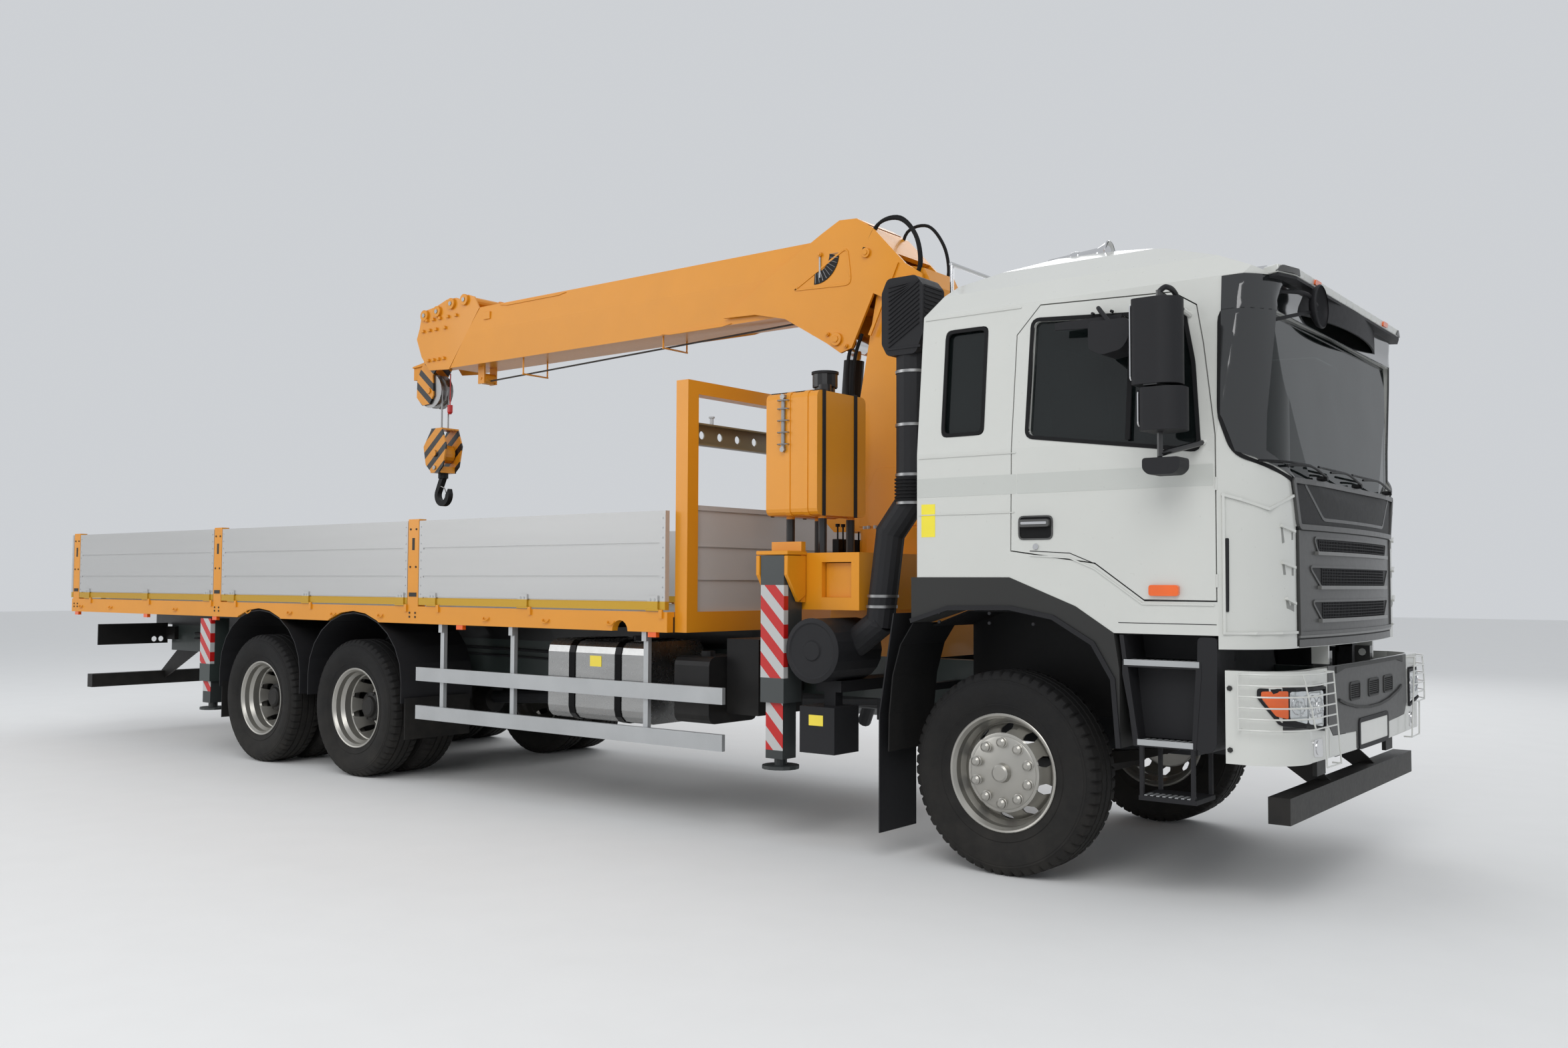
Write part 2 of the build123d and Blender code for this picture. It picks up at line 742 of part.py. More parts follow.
def side_guards():
    """Two aluminium rails on three posts, each side."""
    pieces = []
    for low, high in guard_rails:
        rail = block(guard_rear, guard_front, -1235, -1207, low, high)
        pieces.append(rail)
    for x in guard_post_xs:
        pieces.append(block(x - 20, x + 20, -1210, -1180, 510, bed_bottom - seat_gap))
        pieces.append(block(x - 20, x + 20, -1230, -1180, bed_bottom - 60, bed_bottom - seat_gap))
    return both(joined(pieces))


mudguard_y = (580.0, 1240.0)
mudguard_foot = 600.0
arch_steps = 12


def arch(x, grow, y0, y1, foot=mudguard_foot):
    """Solid under a mudguard's arch over one axle, grown outward by an amount."""
    half = mudguard_half + grow
    spring_z = 760
    points = [(x - half, foot)]
    for index in range(arch_steps + 1):
        angle = pi - pi * index / arch_steps
        points.append((x + half * cos(angle), spring_z + (mudguard_top + grow - spring_z) * sin(angle)))
    points.append((x + half, foot))
    return plate_y(points, y0, y1)


def mudguards():
    """Arched guards over the rear wheels and the flaps behind the front wheels."""
    pieces = []
    for x in rear_axle_xs:
        outer = arch(x, 0, -mudguard_y[1], -mudguard_y[0])
        inner_y = (-mudguard_y[1] - 1, -mudguard_y[0] + 1)
        guard = outer - arch(x, -mudguard_wall, *inner_y, mudguard_foot - 10)
        arm_low = rail_top + 70
        arm = block(x - 25, x + 25, -mudguard_y[0] - 30, -rail_outer_y - seat_gap, arm_low, arm_low + 40)
        leg = block(x - 25, x + 25, -mudguard_y[0] - 30, -mudguard_y[0], arm_low, mudguard_top - 4)
        pieces.extend(both(joined([guard, arm, leg])))
    flap_points = [(-600, 1350), (-608, 1350), (-700, 800), (-700, 153), (-692, 153), (-692, 800)]
    flap = plate_y(flap_points, -1230, -860)
    stay = block(-700, -650, -870, -rail_outer_y - seat_gap, 900, 940)
    pieces.extend(both(flap + stay))
    return pieces


# Exhaust and air tanks are on the left, which the right-hand view leaves unseen

def exhaust_and_air_tanks():
    """Silencer box with its outlet and two air tanks on the left."""
    silencer = rounded_tank(-2330, -1640, 600, 1150, 600, 1090, 120)
    shelf = block(-2100, -1850, rail_outer_y + seat_gap, 610, 800, 900)
    outlet = bar((-2200, 900, 640), (-2330, 1000, 470), 50)
    tanks = []
    for z in (720, 1000):
        tanks.append(bar_x(120, 640, z, -4700, -3600))
    saddles = []
    for x in (-4500, -3800):
        saddles.append(block(x - 25, x + 25, rail_outer_y + seat_gap, 640, 700, 1020))
    return [joined([silencer, shelf, outlet]), joined(tanks + saddles)]


# Load bed

bearer_rows = (
    # x, half length
    (-2330.0, 1200.0), (-3200.0, 1200.0), (-4050.0, 1200.0), (-4845.0, 1200.0),
    (-5600.0, 570.0), (-6275.0, 570.0), (-6950.0, 570.0),
    (-7626.0, 1200.0), (-8600.0, 1200.0), (-9500.0, 1200.0), (-10330.0, 1200.0),
)


def panel_spans():
    """Front and rear ends of the three drop sides on one side."""
    fronts = [bed_front - panel_gap - 12]
    fronts += [front - post_width - panel_gap for front in post_fronts[:2]]
    rears = [front + panel_gap for front in post_fronts]
    return list(zip(fronts, rears))


panel_hinge_xs = (
    # one row for each drop side, front first
    (-4609.0, -3610.0, -2386.0),
    (-7375.0, -6243.0, -4990.0),
    (-10056.0, -8889.0, -7781.0),
)
barrel_half = 55.0
lug_length = 28.0
lug_reach = 5.0
panel_hinge_y = bed_half_width + hinge_radius + 0.5
tail_hinge_x = -rear_reach + hinge_radius
tail_hinge_ys = (-1000.0, -350.0, 350.0, 1000.0)


def hinge_lugs():
    """Lugs on the bed beside each panel barrel, on both sides and at the rear."""
    lugs = []
    start = barrel_half + seat_gap
    lug_low = bed_floor_top - 40
    for xs in panel_hinge_xs:
        for x in xs:
            x0, x1 = x + start, x + start + lug_length
            outer = -panel_hinge_y - lug_reach
            lugs.extend(both(block(x0, x1, outer, -bed_half_width + 1, lug_low, panel_hinge_z)))
            ends = [(end, -panel_hinge_y, panel_hinge_z) for end in (x0, x1)]
            lugs.extend(both(round_bar(*ends, lug_reach)))
    for y in tail_hinge_ys:
        y0, y1 = y + start, y + start + lug_length
        rear = tail_hinge_x - lug_reach
        lugs.append(block(rear, bed_rear + 1, y0, y1, lug_low, panel_hinge_z))
        ends = [(tail_hinge_x, end, panel_hinge_z) for end in (y0, y1)]
        lugs.append(round_bar(*ends, lug_reach))
    return lugs


def deck():
    """Floor, side beams, cross bearers, subframe and the side posts."""
    floor_low = bed_floor_top - floor_thickness
    inner_beam = bed_half_width - side_beam_width
    pieces = [block(bed_rear, bed_front, -inner_beam, inner_beam, floor_low, bed_floor_top)]
    beam = block(bed_rear, bed_front, -bed_half_width, -inner_beam, bed_bottom, bed_floor_top)
    notches = []
    for x in rear_axle_xs:
        notches.append(arch(x, 12, -bed_half_width - 1, -inner_beam + 1))
    notches.append(bar_y(70, -2680, bed_bottom, -bed_half_width - 1, -inner_beam + 1))
    pieces.extend(both(beam - notches))
    for x0, x1 in ((bed_rear, bed_rear + 60), (bed_front - 60, bed_front)):
        pieces.append(block(x0, x1, -inner_beam, inner_beam, bed_bottom, floor_low + 1))
    for x, half in bearer_rows:
        pieces.append(block(x - 30, x + 30, -half, half, bed_bottom, floor_low + 1))
    rail_in = rail_outer_y - rail_flange
    for side in (-1, 1):
        y0, y1 = sorted((side * rail_in, side * rail_outer_y))
        pieces.append(block(bed_rear + 80, bed_front + 110, y0, y1, rail_top + seat_gap, bed_bottom))
    for front in post_fronts:
        post = block(
            front - post_width, front, -bed_half_width, -bed_half_width + post_depth,
            bed_bottom, post_top,
        )
        pieces.extend(both(post))
    return joined(pieces + hinge_lugs())


def headboard():
    """Gantry in front of the bed: posts, top bar, pierced channel and boards."""
    rear = headboard_rear + seat_gap
    front = headboard_rear + headboard_depth
    post_in = headboard_half - 100
    post_low = bed_bottom + seat_gap
    pieces = both(block(rear, front, -headboard_half, -post_in, post_low, headboard_top))
    pieces.append(block(rear, front, -post_in, post_in, post_low, bed_floor_top))
    pieces.append(block(rear, front, -post_in, post_in, headboard_top - 85, headboard_top))
    channel = block(rear + 20, front - 20, -post_in, post_in, 2385, 2525)
    groove = block(rear + 30, front, -post_in - 1, post_in + 1, 2395, 2515)
    holes = []
    count = 12
    for index in range(count):
        y = -post_in + 110 + index * (2 * post_in - 220) / (count - 1)
        holes.append(bar_x(27, y, 2455, rear, front))
    pieces.append((channel - groove) - holes)
    pieces.append(block(rear + 50, rear + 75, -post_in, post_in, bed_floor_top, 2000))
    for z in (1545, 1755, 1985):
        pieces.append(block(rear + 40, rear + 85, -post_in, post_in, z - 15, z + 15))
    return joined(pieces)


plank_lines = (1393.0, 1548.0, 1755.0)
groove_depth = 5.0


def drop_side(front, rear, hinge_xs):
    """Right drop side: framed boards with hinge barrels along the bottom."""
    outer = -bed_half_width
    inner = outer + panel_thickness
    board = block(rear, front, outer, inner, panel_bottom, panel_top)
    grooves = []
    for z in plank_lines:
        grooves.append(block(rear + 50, front - 50, outer - 1, outer + groove_depth, z - 6, z + 6))
    board = board - grooves
    barrels = []
    hinge_y = -panel_hinge_y
    for x in hinge_xs:
        ends = [(x + reach, hinge_y, panel_hinge_z) for reach in (-barrel_half, barrel_half)]
        barrels.append(round_bar(*ends, hinge_radius))
        barrels.append(block(x - 45, x + 45, hinge_y - 3, outer + 1, panel_hinge_z, panel_bottom + 90))
    return joined([board] + barrels)


tail_inner = bed_rear - 1.0


def tailgate():
    """Rear gate with its hinge barrels."""
    outer = tail_hinge_x + hinge_radius + 0.5
    half = bed_half_width - 7
    gate = block(outer, tail_inner, -half, half, panel_bottom, panel_top)
    grooves = []
    for z in plank_lines:
        grooves.append(block(outer - 1, outer + groove_depth, -half + 50, half - 50, z - 6, z + 6))
    gate = gate - grooves
    barrels = []
    for y in tail_hinge_ys:
        barrels.append(bar_y(hinge_radius, tail_hinge_x, panel_hinge_z, y - barrel_half, y + barrel_half))
        barrels.append(block(tail_hinge_x - 3, outer + 1, y - 45, y + 45, panel_hinge_z, panel_bottom + 90))
    return joined([gate] + barrels)


# Cab: the outer form is where a side view, a front view and a top view meet

def cab_form(inset):
    """Solid cab form, every wall moved inward by an amount."""
    i = inset
    side = [
        (cab_rear + i, cab_bottom), (cab_rear + i, 2960 - i), (-330 + i * 0.7, 3150 - i),
        (150, 3290 - i), (520, 3262 - i), (830, 3200 - i), (1148 - i * 0.4, 3085 - i),
        (1409 - i, 2960 - i), (1392 - i, 2850), (1452 - i, 1985), (cab_front - i, 1930),
        (cab_front - i, cab_front_bottom), (1187, cab_front_bottom), (1187, cab_sill),
        (676, cab_sill), (476, 1404), (111, cab_bottom),
    ]
    profile = plate_y(side, -half_width - 5, half_width + 5)
    flank = half_width - i
    half_front = [
        (flank, 1200), (flank, 2205), (flank - 73, 2965), (flank - 165, 3085 - i * 0.6),
        (flank - 345, 3215 - i), (flank - 525, 3292 - i),
    ]
    front_outline = [(-y, z) for y, z in half_front] + [(y, z) for y, z in reversed(half_front)]
    front = plate_x(front_outline, cab_rear - 10, cab_front + 10)
    rear, nose = cab_rear + i, cab_front - i
    corner_x, corner_y = cab_front - 57 - i, grille_half
    plan_edges = [
        Line((rear, -flank), (1187, -flank)),
        ThreePointArc((1187, -flank), (1345 - i * 0.8, -flank + 126), (corner_x, -corner_y)),
        ThreePointArc((corner_x, -corner_y), (nose, 0), (corner_x, corner_y)),
        ThreePointArc((corner_x, corner_y), (1345 - i * 0.8, flank - 126), (1187, flank)),
        Line((1187, flank), (rear, flank)),
        Line((rear, flank), (rear, -flank)),
    ]
    plan = extrude(Pos(0, 0, 1190) * make_face(plan_edges), amount=2150, dir=(0, 0, 1))
    return profile & front & plan


door_outline = (
    # x, z round the door, from its rear lower corner
    (117.0, 1678.0), (579.0, 1612.0), (833.0, 1432.0), (1184.0, 1432.0), (1184.0, 2206.0),
    (1118.0, 2647.0), (1079.0, 2841.0), (957.0, 2920.0), (257.0, 2946.0), (128.0, 2800.0),
)
door_window = (
    # x, z round the window, from its rear lower corner
    (219.0, 2269.0), (1097.0, 2151.0), (1060.0, 2560.0), (1007.0, 2806.0), (228.0, 2859.0),
)
rear_side_window = ((-298.0, 2288.0), (-39.0, 2288.0), (-39.0, 2871.0), (-298.0, 2871.0))
windscreen = (
    # y, z of the left half, from the middle below
    (0.0, 1990.0), (880.0, 2015.0), (1105.0, 2125.0), (1100.0, 2300.0), (1040.0, 2790.0),
    (0.0, 2808.0),
)
grille_half = half_width - 384.0
grille_low = 1223.0
grille_high = 1790.0
cross_member_top = 1290.0


def grown(points, amount):
    """Outline moved outward by an amount, or inward if it is negative."""
    face = make_face(Polyline(*[(a, b, 0) for a, b in points], close=True))
    wire = offset(face, amount=amount, kind=Kind.INTERSECTION)
    vertices = wire.faces()[0].outer_wire().order_edges()
    return [(edge.position_at(0).X, edge.position_at(0).Y) for edge in vertices]


def side_prism(points, amount, y0, y1, radius=0.0):
    """Prism of an (x, z) outline, grown by an amount."""
    return plate_y(grown(points, amount), y0, y1, radius)


def windscreen_prism(amount, x0, x1):
    """Prism of the windscreen outline, grown by an amount."""
    left = list(windscreen)
    right = [(-y, z) for y, z in reversed(left[1:-1])]
    return plate_x(grown(left + right, amount), x0, x1)


rear_window = ((-520.0, 2260.0), (520.0, 2260.0), (520.0, 2760.0), (-520.0, 2760.0))


def cab_cavity():
    """Room inside the cab above its floor."""
    return cab_form(cab_wall) & block(cab_rear, cab_front, -half_width, half_width, cab_floor, 3400)


def grille_prism(amount):
    """Front opening that the grille fills."""
    low, high = grille_low - amount, grille_high + amount
    return block(1300, 1600, -grille_half - amount, grille_half + amount, low, high)


def cab_pivot():
    """Right tilt lug under the cab's front cross member, with its pin."""
    lug_low = cab_pivot_z - 30
    lug = block(cab_pivot_x - 40, cab_pivot_x + 40, -lug_y[1], -lug_y[0], lug_low, cab_front_bottom + 5)
    pin = bar_y(pivot_pin_radius, cab_pivot_x, cab_pivot_z, -lug_y[1], -tower_y[0])
    return lug + pin


door_hinge_y = -half_width - 1.0


def door_hinges():
    """Right door's hinge blocks on the pillar, filling the seam in front of the door."""
    edge = door_outline[3][0]
    blocks = []
    for low in (1500, 1950):
        rear = edge - 2 * door_gap + seat_gap
        blocks.append(block(rear, edge + 3, -half_width + 4, -half_width + 40, low, low + 60))
        blocks.append(round_bar((edge, door_hinge_y, low), (edge, door_hinge_y, low + 60), 5))
    return joined(blocks)


def cab_pieces():
    """Shell, doors and panes cut from the same walls."""
    outer = cab_form(0)
    cavity = cab_cavity()
    walls = outer - cavity
    under = block(1187 + 20, 1600, -grille_half - 40, grille_half + 40, cross_member_top, 1560)
    under = under & cab_form(cab_wall)
    walls = walls - under
    side_low, side_high = -half_width - 20, -1000
    skin = outer - cab_form(cab_wall)
    door_cut = skin & side_prism(door_outline, 0, side_low, side_high)
    door_skin = outer - cab_form(cab_wall - door_gap)
    door_body = door_skin & side_prism(door_outline, -2 * door_gap, side_low, side_high)
    window_cut = side_prism(door_window, 0, side_low, side_high, 30)
    quarter_cut = side_prism(rear_side_window, 0, side_low, side_high, 30)
    screen_cut = windscreen_prism(0, 1180, 1600)
    back_cut = plate_x(rear_window, cab_rear - 20, cab_rear + 150, 30)
    shell = walls - both(door_cut) - both(quarter_cut) - [screen_cut, back_cut, grille_prism(seat_gap)]
    shell = joined([shell] + both(cab_pivot()) + both(door_hinges()))
    door = door_body - window_cut
    pane_wall = cab_form(glass_inset) - cab_form(glass_inset + glass_thickness)
    screen = pane_wall & windscreen_prism(-pane_gap, 1180, 1600)
    back = pane_wall & plate_x(grown(rear_window, -pane_gap), cab_rear - 20, cab_rear + 150, 30)
    quarter = pane_wall & side_prism(rear_side_window, -pane_gap, side_low, side_high, 30)
    door_pane = pane_wall & side_prism(door_window, -pane_gap, side_low, side_high, 30)
    return shell, door, [screen, back] + both(quarter), door_pane


mirror_rows = (
    # rear x, front x, outer y, inner y, low z, high z
    (960.0, 1050.0, -1545.0, -1360.0, 2420.0, 2820.0),
    (965.0, 1050.0, -1540.0, -1365.0, 2222.0, 2412.0),
)


def door_mirrors():
    """Right mirror heads with the tube frame that holds them on the door."""
    pieces = []
    for rear, front, outer, inner, low, high in mirror_rows:
        nose = (front, (outer + inner) / 2)
        plan = [(rear, outer), (front - 25, outer), nose, (front - 25, inner), (rear, inner)]
        head = plate_z(plan, low, high)
        pieces.append(head)
    post_x, post_y = 1000, -1452
    pieces.append(bar((post_x, post_y, 2100), (post_x, post_y, 2870), 14))
    pieces.append(bar((post_x, post_y, 2858), (1047, -1178, 2790), 14))
    pieces.append(bar((post_x, post_y, 2112), (1137, -1228, 2180), 14))
    return pieces


def grille():
    """Front grille: frame with three long openings behind bars."""
    band = cab_form(4) - cab_form(46)
    panel = band & grille_prism(0)
    openings = []
    for low, high in ((1283, 1392), (1440, 1560), (1608, 1726)):
        openings.append(block(1300, 1600, -grille_half + 50, -20, low, high))
        openings.append(block(1300, 1600, 20, grille_half - 50, low, high))
    return panel - openings


def arch_trim():
    """Black arch lip under the right side of the cab."""
    outline = [
        (-479, cab_bottom - seat_gap), (111, cab_bottom - seat_gap), (476, 1404 - seat_gap),
        (676, cab_sill - seat_gap), (704, 1100), (704, 724),
        (686, 724), (660, 1050), (560, 1215), (350, 1335), (113, 1378), (-250, 1372), (-479, 1300),
    ]
    return plate_y(outline, -half_width - 2, -1040)


def sun_visor():
    """Visor over the windscreen, on three stays."""
    low, high = 2832, 2955
    outer = [
        ThreePointArc((1352, -900, low), (1482, 0, low), (1352, 900, low)),
        Line((1352, 900, low), (1150, 1120, low)),
        Line((1150, 1120, low), (1143, 1113, low)),
        Line((1143, 1113, low), (1344, 892, low)),
        ThreePointArc((1344, 892, low), (1473, 0, low), (1344, -892, low)),
        Line((1344, -892, low), (1143, -1113, low)),
        Line((1143, -1113, low), (1150, -1120, low)),
        Line((1150, -1120, low), (1352, -900, low)),
    ]
    band = extrude(make_face(outer), amount=high - low, dir=(0, 0, 1))
    room = cab_form(-seat_gap)
    stays = []
    for y in (-700, 0, 700):
        front = 1476 if y == 0 else 1398
        stays.append(block(1300, front, y - 15, y + 15, 2925, 2945))
    return (joined([band] + stays)) - room


def cab_interior():
    """Two seats, bunk, dashboard and steering wheel."""
    floor = cab_floor + seat_gap
    pieces = []
    for y in (-620, 620):
        base = block(250, 700, y - 240, y + 240, floor, 2060)
        back = plate_y([(180, 2060), (320, 2060), (240, 2760), (130, 2760)], y - 230, y + 230)
        pieces.append(base + back)
    pieces.append(block(-380, 90, -1000, 1000, floor, 2080))
    dash = plate_y([(1060, 1800), (1500, 1800), (1500, 1955), (1230, 2070), (1060, 2040)], -1120, 1120)
    dash = dash & cab_form(cab_wall + seat_gap)
    wheel_centre = Location((960, 620, 2120), (0, 55, 0))
    ring = wheel_centre * (RegularPolygon(232, 16) - RegularPolygon(206, 16))
    ring = extrude(ring, amount=22, both=True)
    column_bar = bar((960, 620, 2120), (1120, 620, 2005), 30)
    spokes = wheel_centre * Box(430, 50, 20)
    pieces.append(joined([dash, column_bar, ring, spokes]))
    return pieces


def roof_gear():
    """Air horns, rear rail and marker lamps on the roof."""
    top = cab_form(0)
    pieces = []
    horn_x, horn_y, horn_z = 330, -700, 3285
    for side in (-1, 1):
        horn_plane = Plane(origin=(horn_x - 260, side * horn_y, horn_z), z_dir=(1, 0, 0))
        horn = extrude(horn_plane * RegularPolygon(14, 12), amount=350, taper=-4)
        foot = block(horn_x - 230, horn_x - 190, side * horn_y - 12, side * horn_y + 12, 3200, horn_z)
        pieces.append((horn + foot) - top)
    rail = [bar_y(12, -400, 3296, -960, 960)]
    for y in (-950, -320, 320, 950):
        rail.append(bar_z(11, -400, y, 2990, 3300))
    pieces.append(joined(rail) - top)
    for y in (-560, -280, 0, 280, 560):
        lamp = block(1130, 1220, y - 45, y + 45, 3000, 3118)
        pieces.append(lamp - cab_form(0))
    return pieces


# Crane

def crane_base():
    """Base on the frame: pedestal, outrigger housing with two bores, slewing ring."""
    foot = plate_y(
        [
            (base_rear - 60, base_bottom), (base_front + 60, base_bottom),
            (base_front, base_housing_bottom + 1), (base_rear, base_housing_bottom + 1),
        ],
        -rail_outer_y, rail_outer_y,
    )
    window_half = rail_outer_y - 30
    window = block(base_rear + 60, base_front - 60, -window_half, window_half, base_bottom - 1, 1320)
    housing = block(
        base_rear, base_front, -housing_half, housing_half, base_housing_bottom, base_housing_top
    )
    room = beam_size / 2 + running_gap
    bores = []
    for x in (beam_right_x, beam_left_x):
        low = beam_z - beam_size / 2 - seat_gap
        bores.append(block(x - room, x + room, -housing_half - 1, housing_half + 1, low, beam_z + room))
    ring = bar_z(330, slew_x, 0, base_housing_top, turntable_top)
    return (joined([foot, housing, ring]) - [window]) - bores


def outrigger(x):
    """Sliding beam with its leg tube, right side."""
    half = beam_size / 2
    beam = block(x - half, x + half, -leg_y, housing_half - 40, beam_z - half, beam_z + half)
    leg_half = leg_size / 2
    tube = block(x - leg_half, x + leg_half, -leg_y - leg_half, -leg_y + leg_half, leg_bottom, leg_top)
    head_in = -leg_y + leg_half
    head = block(x - leg_half - 25, x + leg_half + 25, head_in - 40, head_in + 2, 1400, 1756)
    room = inner_leg_size / 2 + slide_gap
    bore = block(x - room, x + room, -leg_y - room, -leg_y + room, leg_bottom - 1, leg_top - leg_wall)
    return joined([beam, tube, head]) - bore


def front_jack(x):
    """Sliding leg with its foot, right side."""
    half = inner_leg_size / 2
    leg = block(x - half, x + half, -leg_y - half, -leg_y + half, foot_z + 60, 1560)
    neck = bar_z(38, x, -leg_y, foot_z + 18, foot_z + 62)
    foot = bar_z(foot_radius, x, -leg_y, foot_z, foot_z + 20)
    return joined([leg, neck, foot])


oil_x = (-1563.0, -1185.0)
oil_y = (-1150.0, -655.0)
oil_z = (1910.0, 2640.0)


def oil_tank():
    """Hydraulic oil tank on posts over the base, with filler and filter."""
    tank = rounded_tank(oil_x[0], oil_x[1], oil_y[0], oil_y[1], oil_z[0], oil_z[1], 38)
    pieces = [tank]
    rise = 5
    for x in (-1400, -1270):
        low_y, high_y = oil_y[0] - rise, oil_y[1] + rise
        band = rounded_tank(x - 18, x + 18, low_y, high_y, oil_z[0] - rise, oil_z[1] + rise, 38 + rise)
        pieces.append(band)
    for x in (oil_x[0] + 70, oil_x[1] - 70):
        for y in (-1000, oil_y[1] - 60):
            pieces.append(bar_z(26, x, y, base_housing_top + seat_gap, oil_z[0] + 10))
    pieces.append(bar_z(62, -1400, -780, oil_z[1] - 5, oil_z[1] + 70))
    pieces.append(bar_z(78, -1400, -780, oil_z[1] + 70, oil_z[1] + 150))
    pieces.append(bar_z(38, -1290, -930, oil_z[1] - 5, oil_z[1] + 60))
    return joined(pieces)


def column():
    """Slewing column with the ears for the luff cylinder and the boom pin."""
    base_z = turntable_top + seat_gap
    ring = round_bar((slew_x, 0, base_z), (slew_x, 0, base_z + 70), 325)
    side = [
        (-1620, base_z + 60), (-1560, 2700), (-1428, 3380), (-1340, 3520), (-1210, 3560),
        (-1060, 3520), (-1000, 3400), (-985, 2700), (-960, base_z + 60),
    ]
    post = plate_y(side, -column_half, column_half)
    ears = []
    for side_sign in (-1, 1):
        y0, y1 = sorted((side_sign * 95, side_sign * 130))
        ear = plate_y(
            [
                (-1500, base_z + 62), (-1500, 2240), (-1700, 2200), (-1870, 2040), (-1880, 1930),
                (-1800, base_z + 62),
            ],
            y0, y1,
        )
        ears.append(ear)
    pin = bar_y(28, luff_foot_x, luff_foot_z, -140, 140)
    cross = bar_y(62, hinge_x, hinge_z, -column_half - 10, column_half + 10)
    shaft = bar_y(45, hinge_x, hinge_z, -root_plate_outer - 12, root_plate_outer + 12)
    return joined([ring, post] + ears + [pin, cross, shaft])


luff_run = (luff_pin_x - luff_foot_x, luff_pin_z - luff_foot_z)
barrel_share = 0.90


def along_luff(share):
    """Point on the cylinder's line, as a share of its closed length."""
    x = luff_foot_x + luff_run[0] * share
    z = luff_foot_z + luff_run[1] * share
    return (x, 0, z)


def luff_barrel():
    """Luff cylinder's barrel with its foot eye."""
    foot_x, foot_z0 = luff_foot_x, luff_foot_z
    eye = bar_y(68, foot_x, foot_z0, -88, 88)
    tube = bar(along_luff(0.03), along_luff(barrel_share), barrel_radius)
    room = round_bar(along_luff(0.14), along_luff(barrel_share + 0.01), rod_radius + slide_gap)
    pin_room = bore_y(28 + hub_clearance, foot_x, foot_z0, -90, 90)
    return (eye + tube) - room - pin_room


def luff_rod():
    """Luff cylinder's rod with its eye, which stands free between the boom's bosses."""
    stem = bar(along_luff(0.16), along_luff(0.97), rod_radius)
    return stem + bore_y(66, luff_pin_x, luff_pin_z, -80, 80)


def boom_tube(step, root_x, tip, pad_x=None):
    """Hollow boom section, the given number of steps inside the base section, with wear pads."""
    shrink = step * section_step
    half = boom_half - shrink
    low, high = boom_bottom + shrink, boom_top - shrink
    mid = low + 0.58 * (high - low)
    taper = 10
    def ring(inset):
        w = half - inset
        return [
            (-w + taper, low + inset), (w - taper, low + inset), (w, mid), (w - taper, high - inset),
            (-w + taper, high - inset), (-w, mid),
        ]
    tube = plate_x(ring(0), tip, root_x)
    tube = tube - plate_x(ring(boom_wall), tip - 1, root_x + 1)
    if not pad_x:
        return tube
    pads = []
    for side in (-1, 1):
        y0, y1 = sorted((side * (half - 90), side * (half - 40)))
        pads.append(block(pad_x, pad_x + 120, y0, y1, low + boom_wall - 1, low + section_step - seat_gap))
    return joined([tube] + pads)


def slant_cut(gap):
    """Everything beyond the slanted mouth of the base section."""
    slope = (boom_tip_bottom_x - boom_tip_top_x) / (boom_bottom - boom_top)
    def edge_x(z):
        return boom_tip_top_x + slope * (z - boom_top) + gap
    low, high = boom_bottom - 400, boom_top + 300
    points = [(edge_x(low), low), (edge_x(high), high), (-9000, high), (-9000, low)]
    return plate_y(points, -400, 400)


root_plate = (
    # x, z round the root plate
    (-1060.0, 3480.0), (-1045.0, 3400.0), (-1090.0, 3325.0), (-1230.0, 3300.0), (-1428.0, 3400.0),
    (-1600.0, 3060.0), (-1690.0, 3035.0), (-1800.0, 3110.0), (-1954.0, 3200.0), (-2157.0, 3318.0),
    (-2422.0, 3380.0), (-2712.0, 3390.0), (-2313.0, 3620.0), (-1840.0, 3860.0), (-1700.0, 3925.0),
    (-1560.0, 3915.0), (-1430.0, 3830.0), (-1180.0, 3560.0),
)


pulley_x = -5556.0


